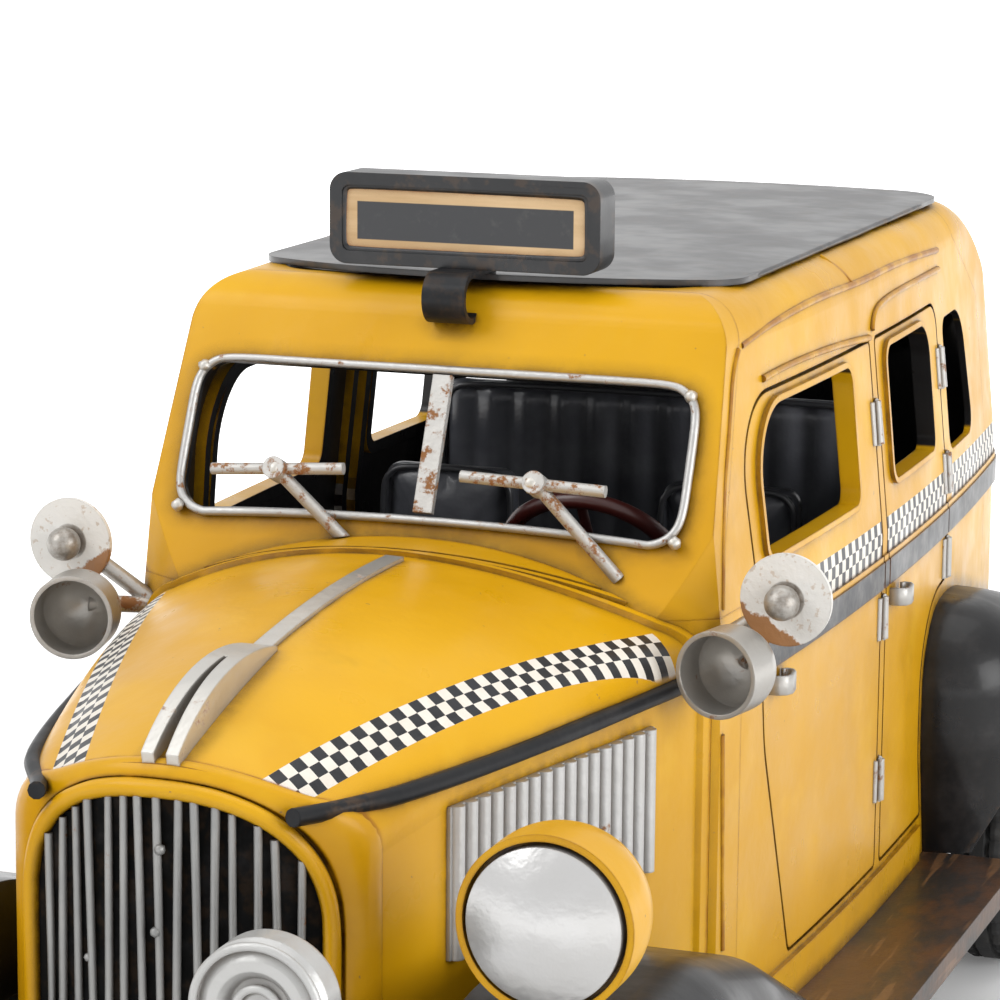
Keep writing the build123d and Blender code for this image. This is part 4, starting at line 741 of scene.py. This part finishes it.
def puffed(name, mesh, pinned, cap):
    """Cloth pressure on a mesh, its seams and back held, each point's move capped."""
    work = bpy.data.objects.new(name + "_work", mesh)
    bpy.context.scene.collection.objects.link(work)
    held = work.vertex_groups.new(name="held")
    held.add(pinned, 1.0, "REPLACE")
    cloth = work.modifiers.new("puff", "CLOTH")
    cloth.settings.use_pressure = True
    cloth.settings.uniform_pressure_force = CLOTH_PRESSURE
    cloth.settings.vertex_group_mass = "held"
    cloth.settings.effector_weights.gravity = 0.0
    cloth.settings.tension_stiffness = CLOTH_STIFFNESS
    cloth.settings.quality = 5
    for frame_number in range(1, CLOTH_FRAMES + 1):
        bpy.context.scene.frame_set(frame_number)
    seen = work.evaluated_get(bpy.context.evaluated_depsgraph_get())
    result = bpy.data.meshes.new_from_object(seen)
    for vertex, start in zip(result.vertices, mesh.vertices):
        move = vertex.co - start.co
        if move.length > cap:
            vertex.co = start.co + move * (cap / move.length)
    bpy.data.objects.remove(work)
    bpy.data.meshes.remove(mesh)
    bpy.context.scene.frame_set(1)
    return result


def quarter(x, y, radius, start):
    """Four points of a quarter turn round a corner's centre, from a start in degrees."""
    angles = [math.radians(start + 30 * step) for step in range(4)]
    return [(x + radius * math.cos(angle), y + radius * math.sin(angle)) for angle in angles]


def welt(size, corner, height, inset):
    """Points of the piping round a pad's face, in its own frame."""
    half_x, half_y = size[0] / 2 - inset, size[1] / 2 - inset
    run = []
    for sx, sy, start in ((1, 1, 0), (-1, 1, 90), (-1, -1, 180), (1, -1, 270)):
        turn = quarter(sx * (half_x - corner), sy * (half_y - corner), corner, start)
        run.extend((x, y, height) for x, y in turn)
    return run


def pad(name, middle, size, corner, ribs, upright):
    """One cushion with its piping; size is across, along and thick, in millimetres."""
    tight = [side - SWELL for side in size]
    mesh = pad_mesh(name, tight, min(corner, tight[2] / 2 - 0.1), ribs)
    turn = Matrix.Rotation(math.radians(90), 4, "X") if upright else Matrix.Identity(4)
    place = Matrix.Translation(Vector(middle) * MM) @ turn
    mesh.transform(place)
    piece = take_in(name, mesh, "body", "seat_black")
    smooth = piece.modifiers.new("smooth", "SUBSURF")
    smooth.levels = smooth.render_levels = 1
    rim = [place @ (Vector(point) * MM) / MM for point in welt(size, corner, size[2] / 2 - 1.0, 0.7)]
    bars(name + "_piping", [rim], 0.55, "body", "seat_piping", closed=True)


SEAT_PLINTHS = (  # middle and size
    ((-25, 18, 41), (21, 26, 17)), ((25, 18, 41), (21, 26, 17)), ((0, 56, 43), (78, 28, 21)),
)
SEAT_X = 25.0


def make_seats():
    """Two front seats and the ribbed rear bench, over bevelled plinths."""
    form = bmesh.new()
    for middle, size in SEAT_PLINTHS:
        turn = Matrix.Translation(Vector(middle) * MM) @ Matrix.Diagonal((*(value * MM for value in size), 1))
        bmesh.ops.create_cube(form, size=1.0, matrix=turn)
    bmesh.ops.bevel(form, geom=form.edges[:], offset=1.2 * MM, segments=2, affect="EDGES", profile=0.5)
    take_in("seat_plinths", mesh_from(form, "seat_plinths", False), "body", "seat_black",
            ("front_seats", "rear_bench"))
    for side, hand in ((-1, "right"), (1, "left")):
        pad("seat_cushion_" + hand, (side * SEAT_X, 17.0, 53.8), (25, 29, 7.6), 4.0, 4, False)
        pad("seat_back_" + hand, (side * SEAT_X, 29.2, 80.0), (25, 43, 7.2), 4.5, 1, True)
    pad("bench_cushion", (0, 55.0, 57.8), (83, 31, 7.6), 4.0, 12, False)
    pad("bench_back", (0, 68.2, 86.4), (83, 47.6, 7.2), 6.0, 12, True)


# ---------- bent grille bars
NOSE_FRONT = -143.75      # along Y
NOSE_RADIUS = 38.0        # the nose bows round in plan
ARCH_HALF = 21.3
ARCH_SPRING = 71.0        # the arch's sides are straight below this
ARCH_CROWN = 89.9
ARCH_FOOT = 35.5
ARCH_TURN = 0.8 * math.pi      # the curve's first quarter turn, then the rest down a straight leg
ARCH_POWER = 0.86         # squares the arch's shoulders
ARCH_STEPS = 24           # to each side of the crown
BAR_COUNT = 15
BAR_ROW = 40.4            # width that the bars share
BAR_RADIUS = 0.56
FLANGE_FOOT = 40.0
FLANGE_LOW = 74.0         # below this the nose's flange runs straight out to the sides
FLANGE_TIN = 0.45
FLANGE_OUT = 60.0         # where its rays start, and the widest place on the nose
FLANGE_WIDE = 30.0
FLANGE_TRIES, FLANGE_STEP = 9, 0.7


def nose_y(x, back=0.0):
    """Where the bowed nose lies at x, or a little back from it."""
    return NOSE_FRONT + back + NOSE_RADIUS - math.sqrt(NOSE_RADIUS ** 2 - x ** 2)


def arch_place(part, grow=0.0):
    """The arch's outline from its left foot (-1) over the crown (0) to the right foot (1)."""
    half, crown = ARCH_HALF + grow, ARCH_CROWN + grow
    angle = abs(part) * ARCH_TURN
    side = 1 if part >= 0 else -1
    if angle > math.pi / 2:
        drop = (angle - math.pi / 2) / (ARCH_TURN - math.pi / 2)
        return side * half, ARCH_SPRING - drop * (ARCH_SPRING - ARCH_FOOT)
    return (side * half * math.sin(angle) ** ARCH_POWER,
            ARCH_SPRING + (crown - ARCH_SPRING) * max(math.cos(angle), 0) ** ARCH_POWER)


def make_grille():
    """The rolled arch, and hand-bent bars leaning a little, some joined by solder."""
    rim, lip = [], []
    for step in range(-ARCH_STEPS, ARCH_STEPS + 1):
        x, z = arch_place(step / ARCH_STEPS)
        rim.append((x, nose_y(x), z))
        x, z = arch_place(step / ARCH_STEPS, 0.9)
        lip.append((x, nose_y(x, 1.45), z))
    bars("grille_arch", [rim], 1.22, "body", "seam_yellow", ("grille_surround",), 0.04)
    bars("grille_lip", [lip], 0.62, "body", "seam_yellow", lumps=0.16)
    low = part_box("grille_bars")[0][2] / MM
    runs = []
    for index in range(BAR_COUNT):
        x = (index + 1) * BAR_ROW / (BAR_COUNT + 1) - BAR_ROW / 2
        top = ARCH_SPRING + (ARCH_CROWN - ARCH_SPRING) * math.sqrt(1 - (x / ARCH_HALF) ** 2) - 0.4
        lean = chance.uniform(-0.45, 0.45)
        bow = chance.uniform(-0.35, 0.35)
        run = []
        for step in range(6):
            part = step / 5
            run.append((
                x + lean * (part - 0.5) * 2 + bow * math.sin(math.pi * part),
                nose_y(x, 0.05),
                low + (top - low) * part,
            ))
        runs.append(run)
    bars("grille_wires", runs, BAR_RADIUS, "body", "bar_silver", ("grille_bars",), 0.10)
    lumps = [((chance.uniform(-0.7, 0.9), nose_y(0, -0.25), z), 0.75) for z in (43, 52, 60.5, 71, 82)]
    lumps += [((x, nose_y(x, -0.15), z), 0.55) for x, z in ((-10.6, 66), (9.9, 57), (-5.0, 48))]
    blobs("grille_solder", lumps, "body", "bar_silver")
    make_nose_flange()


def make_nose_flange():
    """Tin folded from the arch back over the hood's front edge."""
    hood = skin_of("hood")
    form = bmesh.new()
    rings = []
    for step in range(-ARCH_STEPS, ARCH_STEPS + 1):
        x, z = arch_place(step / ARCH_STEPS, 0.7)
        if z < FLANGE_FOOT:
            continue
        away = Vector((x, 0, max(0.0, z - FLANGE_LOW)))
        away.normalize()
        # a ray from outside, set back until it meets the hood, whose edge follows the nose's bow
        heart = min(z, FLANGE_LOW)
        edge_x = abs(x)
        for _ in range(FLANGE_TRIES):
            y = nose_y(min(edge_x, FLANGE_WIDE), 2.05)
            hit = touch(hood, (away.x * FLANGE_OUT, y, heart + away.z * FLANGE_OUT), -away)
            edge_x = abs(hit[0].x) if hit else edge_x + FLANGE_STEP
        if not hit:
            continue
        front = Vector((x, nose_y(x, 0.35), z)) + away * 0.4
        crest = hit[0] + hit[1] * 0.35
        middle = front.lerp(crest, 0.5) + away * 0.25 * (crest - front).length
        tail = hit[0] + hit[1] * 0.05 + Vector((0, 1.0, 0)) + away * 0.2
        rings.append([form.verts.new(place * MM) for place in (front, middle, crest, tail)])
    join_rings(form, rings, False)
    piece = take_in("nose_flange", mesh_from(form, "nose_flange"), "body", "flange_yellow")
    tin = piece.modifiers.new("tin", "SOLIDIFY")
    tin.thickness = FLANGE_TIN * MM
    tin.offset = -1
    smooth = piece.modifiers.new("smooth", "SUBSURF")
    smooth.levels = smooth.render_levels = 1


# ---------- seams and beads
def sight(skin, across, down):
    """What the camera sees on a skin at a place in its frame, in millimetres."""
    back = CAMERA_RIGHT.cross(CAMERA_UP)
    right, low = (across / FRAME - 0.5) / FOCAL, (down / FRAME - 0.5) / FOCAL
    ray = CAMERA_RIGHT * right - CAMERA_UP * low - back
    return touch(skin, CAMERA_PLACE / MM, ray)


CAB_SIDE_X = 38.0         # the cab's side lies beyond this


def sighted_run(skin, places, hand, lift):
    """Frame places laid on the skin's left side, mirrored for the right."""
    run = []
    for across, down in places:
        hit = sight(skin, across, down)
        if hit and hit[0].x > CAB_SIDE_X:
            place = hit[0] + hit[1] * lift
            run.append((hand * place.x, place.y, place.z))
    return run


# the folded seams of the left side, as places in the camera's frame
POST_SEAM = [(738, 350), (732, 372), (731, 403), (728, 441), (725, 480), (724, 518), (723, 556), (723, 610)]
POST_LOW_SEAM = [(722, 735), (722, 790), (722, 850), (722, 905), (722, 950)]
ROOF_SIDE_SEAM = [
    (742, 346), (764, 329), (777, 320), (812, 300), (843, 288), (868, 279), (899, 261), (937, 250),
]
ROOF_CRACK = [(820, 256), (835, 266), (852, 283)]
FRONT_RAIL = [(762, 379), (784, 366), (810, 355), (843, 343), (868, 338)]
REAR_RAIL = [(871, 330), (872, 312), (879, 301), (904, 286), (937, 269)]


def make_seams():
    """Folded seams, drip rails and solder beads over the tin."""
    shell = skin_of("side_left", "cowl", "windshield_surround", "rear_panel")
    for hand, side in ((1, "left"), (-1, "right")):
        runs = [sighted_run(shell, places, hand, -0.15) for places in
                (POST_SEAM, POST_LOW_SEAM, ROOF_SIDE_SEAM, ROOF_CRACK)]
        bars("seam_beads_" + side, [run for run in runs if len(run) > 1], 0.50, "body",
             "seam_yellow", lumps=0.35)
        runs = [sighted_run(shell, places, hand, 0.1) for places in (FRONT_RAIL, REAR_RAIL)]
        bars("drip_rails_" + side, [run for run in runs if len(run) > 1], 0.55, "body",
             "seam_yellow", lumps=0.15)


STRIP_NOSE = (17.9, -141.9, 87.4)     # where a strip begins, at the arch
STRIP_START, STRIP_END = Vector((-137.5, 86.9)), Vector((-55.5, 87.9))    # along and up
STRIP_STEPS = 12


def make_hood_strips():
    """Rounded black bars down the bonnet's shoulders in place of the plain strips."""
    hood = skin_of("hood")
    runs = []
    for hand in (1, -1):
        run = [(hand * STRIP_NOSE[0], *STRIP_NOSE[1:])]
        for step in range(STRIP_STEPS + 1):
            y, z = STRIP_START.lerp(STRIP_END, step / STRIP_STEPS)
            hit = side_touch(hood, hand, y, z)
            if hit:
                run.append(tuple(hit[0] + hit[1] * 0.35))
        runs.append(run)
    bars("hood_strip_bars", runs, 1.25, "body", "strip_black", ("hood_belt_strips",), 0.05)


HANDLE_Z = 81.4
DOOR_ROWS = (("front", 35.3, -27.5), ("rear", 86.6, 41.5))    # a row's hinge and handle along Y
HINGE_ZS = {"front": (51.0, 79.0, 112.0), "rear": (79.5, 95.0, 114.0)}
KNUCKLE_HALF = 3.6
STRAP_OUTLINE = [  # along the door and out from it
    (0, -0.3), (0.1, 1.6), (0.7, 2.6), (2.0, 3.0), (4.6, 2.7), (5.6, 2.2), (5.9, 1.2), (5.2, 0.6),
]
STRAP_HALF_WIDTH, STRAP_HALF_TIN = 1.5, 0.35


def make_hinges():
    """Slim rolled knuckles on two pins in place of the blocky leaves, and bent strap handles."""
    shell = skin_of("side_left", "side_right")
    knuckles, pins = [], []
    for row, hinge_y, handle_y in DOOR_ROWS:
        for hand, side in ((1, "left"), (-1, "right")):
            skin = skin_of(f"door_{row}_{side}")
            leaves = []
            for z in HINGE_ZS[row]:
                places = []
                for rise in (-KNUCKLE_HALF, KNUCKLE_HALF):
                    hit = side_touch(shell, hand, hinge_y + 1.8, z + rise)
                    places.append(hit[0] + Vector((hand * 0.5, -1.2, 0)))
                    pins.append([tuple(hit[0] - Vector((hand * 0.5, 0, 0))), tuple(places[-1])])
                    hit = side_touch(skin, hand, hinge_y - 1.6, z + rise)
                    leaves.append(tuple(hit[0] + Vector((hand * 0.05, 0, 0))))
                knuckles.append([tuple(places[0].lerp(places[1], part / 3)) for part in range(4)])
            node = f"door_hardware_{row}_{side}"
            body = body_of(nodes[node])[0]
            flat = [[leaves[index], leaves[index + 1]] for index in range(0, len(leaves), 2)]
            bars(f"door_leaves_{row}_{side}", flat, 0.55, body, "hinge_silver", (node,), 0.1)
            root = side_touch(skin, hand, handle_y, HANDLE_Z)[0]
            take_in(f"door_handle_{row}_{side}", strap_mesh(root, hand), body, "hinge_silver")
    bars("hinge_knuckles", knuckles, 0.72, "body", "hinge_silver", ("hinge_leaves",), 0.08)
    bars("hinge_pins", pins, 0.4, "body", "hinge_silver")


def strap_mesh(root, hand):
    """A handle bent from a flat strap: out from the door, along it and back in."""
    form = bmesh.new()
    rings = []
    last = len(STRAP_OUTLINE) - 1
    for index, (along, out) in enumerate(STRAP_OUTLINE):
        before = Vector(STRAP_OUTLINE[max(index - 1, 0)])
        after = Vector(STRAP_OUTLINE[min(index + 1, last)])
        run = (after - before).normalized()
        across = Vector((-run.y, run.x)) * STRAP_HALF_TIN
        ring = []
        for sign, edge in ((1, -1), (1, 1), (-1, 1), (-1, -1)):
            place = root + Vector((
                hand * (out + sign * across.y), along + sign * across.x, edge * STRAP_HALF_WIDTH
            ))
            ring.append(form.verts.new(place * MM))
        rings.append(ring)
    join_rings(form, rings)
    form.faces.new(rings[0])
    form.faces.new(rings[-1])
    bmesh.ops.bevel(form, geom=form.edges[:], offset=0.12 * MM, segments=1, affect="EDGES", profile=0.5)
    return mesh_from(form, "strap")


WIRE_RADIUS = 0.66
WIRE_CORNER = 5.0
WIRE_HALF, WIRE_RISE = 40.2, 24.6     # half across, and up the raked frame
WIRE_FOOT = Vector((-50.0, 106.0))    # the lower wire along and up
WIRE_LIFT = 0.9                       # out from the raked frame
RAKE = math.radians(23.5)


def wire_outline():
    """The wire across and up the raked frame: its lower run, then round by the car's left side."""
    half, up, corner = WIRE_HALF, WIRE_RISE, WIRE_CORNER
    inner, high = half - corner, up - corner
    return [
        (-inner, 0.25), (-20, 1.0), (0, 1.4), (20, 1.0), (inner, 0.25),
        *quarter(inner, corner, corner, -90), (half, 9), (half, 15),
        *quarter(inner, high, corner, 0), (18, up), (-2, up), (-20, up),
        *quarter(-inner, high, corner, 90), (-half, 15), (-half, 9),
        *quarter(-inner, corner, corner, 180),
    ]


def make_windshield_wire():
    """The bent wire round the windshield, thinned and hand-bent over the CAD's frame."""
    run = []
    for x, rise in wire_outline():
        rise += chance.uniform(-0.1, 0.1)
        run.append((
            x + chance.uniform(-0.1, 0.1),
            WIRE_FOOT.x + rise * math.sin(RAKE) - WIRE_LIFT * math.cos(RAKE),
            WIRE_FOOT.y + rise * math.cos(RAKE) + WIRE_LIFT * math.sin(RAKE),
        ))
    bars("windshield_wire", [run], WIRE_RADIUS, "body", "silver_wire", ("windshield_frame",),
         0.08, True)


SIGN_RIM = 0.72
ROOF_RIM = 0.5
ROOF_RIM_STEPS = 40
ROOF_MIDDLE_Y, ROOF_RIM_Z = 45.0, 141.4
ROOF_CLEAR = (80.0, 120.0)    # an oval well outside the roof, half across and half along


def make_sign_rims():
    """Rolled glossy edges round the sign's box, and the roof plate's thick black edge."""
    low, high = (Vector(corner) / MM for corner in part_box("sign_box"))
    middle, size = (low + high) / 2, high - low
    runs = []
    for y, inset, corner in ((low.y + 0.75, 0.75, 2.4), (high.y - 0.75, 0.75, 2.4), (low.y + 0.9, 2.0, 1.6)):
        run = []
        for x, z, _ in welt((size.x, size.z), corner, 0, inset):
            wander = chance.uniform(-0.12, 0.12)
            run.append((middle.x + x, y, middle.z + z + wander))
        runs.append(run)
    bars("sign_rims", runs, SIGN_RIM, "body", "sign_black", closed=True, lumps=0.10)
    roof = skin_of("roof_panel")
    run = []
    for step in range(ROOF_RIM_STEPS):
        angle = 2 * math.pi * step / ROOF_RIM_STEPS
        away = Vector((ROOF_CLEAR[0] * math.cos(angle), ROOF_CLEAR[1] * math.sin(angle), 0))
        hit = touch(roof, away + Vector((0, ROOF_MIDDLE_Y, ROOF_RIM_Z)), -away)
        if hit:
            run.append((hit[0].x * 0.997, hit[0].y, hit[0].z + chance.uniform(-0.1, 0.1)))
    bars("roof_rim", [run], ROOF_RIM, "body", "roof_rim", closed=True, lumps=0.2)


TYRE_STEPS = 132          # every third step is a groove between the tread's blocks
GROOVE = 0.9
TYRE_HALF_PROFILE = [  # across from the tyre's middle and out from its axle
    (0.3, 25.0), (1.3, 25.0), (1.5, 24.1), (2.1, 24.1), (2.3, 25.0), (3.2, 25.0), (4.1, 24.6), (5.0, 23.6),
    (5.45, 21.5), (5.35, 19.0), (4.6, 16.6), (3.6, 15.6),
]


def tyre_mesh(name, middle):
    """A tyre with a blocky tread cut into its crown."""
    profile = [(-across, radius) for across, radius in reversed(TYRE_HALF_PROFILE)] + TYRE_HALF_PROFILE
    form = bmesh.new()
    rings = []
    for step in range(TYRE_STEPS):
        angle = 2 * math.pi * step / TYRE_STEPS
        ring = []
        for across, radius in profile:
            if abs(across) > 2.2 and radius > 23 and step % 3 == 0:
                radius -= GROOVE
            ring.append(form.verts.new(Vector((
                middle[0] + across, middle[1] + radius * math.cos(angle), middle[2] + radius * math.sin(angle)
            )) * MM))
        rings.append(ring)
    join_rings(form, rings + rings[:1])
    return mesh_from(form, name, False)


def make_tyres():
    """Treaded tyres in place of the plain ones."""
    for row in ("front", "rear"):
        for hand in ("left", "right"):
            node = f"tyre_{row}_{hand}"
            low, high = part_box(node)
            middle = (Vector(low) + Vector(high)) / 2 / MM
            body = body_of(nodes[node])[0]
            mesh = tyre_mesh(node + "_treaded", middle)
            take_in(node + "_treaded", mesh, body, "tyre", (node,))


WIRE_JOINTS = ((-39.6, 107.2, -50.6), (39.6, 107.2, -50.6), (-39.0, 127.4, -41.6), (39.0, 127.4, -41.6))
WIPER_BLADES = (((-32.0, -55.1, 114.0), (-10.9, -54.5, 115.3)), ((7.6, -54.2, 115.4), (30.1, -54.5, 114.7)))
HORN_MIDDLE = Vector((21.7, -163.0, 68.7))
HORN_RINGS = ((8.6, 0.5), (5.9, 1.9), (3.0, 1.0))     # radius, and back from the rim
HORN_STEPS = 16


def make_fittings():
    """Solder at the windshield wire and the wipers, and the horn lamp's rings."""
    lumps = [((x, y - 0.4, z), 1.0) for x, z, y in WIRE_JOINTS]
    for start, end in WIPER_BLADES:
        middle = (Vector(start) + Vector(end)) / 2
        lumps.append((tuple(middle + Vector((0, -0.9, 0.1))), 1.25))
    blobs("solder_lumps", lumps, "body", "blob_silver")
    angles = [2 * math.pi * step / HORN_STEPS for step in range(HORN_STEPS)]
    runs = []
    for radius, back in HORN_RINGS:
        ring = [Vector((radius * math.cos(angle), back, radius * math.sin(angle))) for angle in angles]
        runs.append([tuple(HORN_MIDDLE + place) for place in ring])
    bars("horn_rings", runs, 0.55, "body", "horn_silver", closed=True, lumps=0.06)


make_camera()
dress_nodes()
make_seats()
make_grille()
make_seams()
make_hood_strips()
make_hinges()
make_sign_rims()
make_windshield_wire()
make_tyres()
make_fittings()
make_floor()
make_world()
make_lamps()
bpy.context.scene.view_settings.view_transform = "Standard"
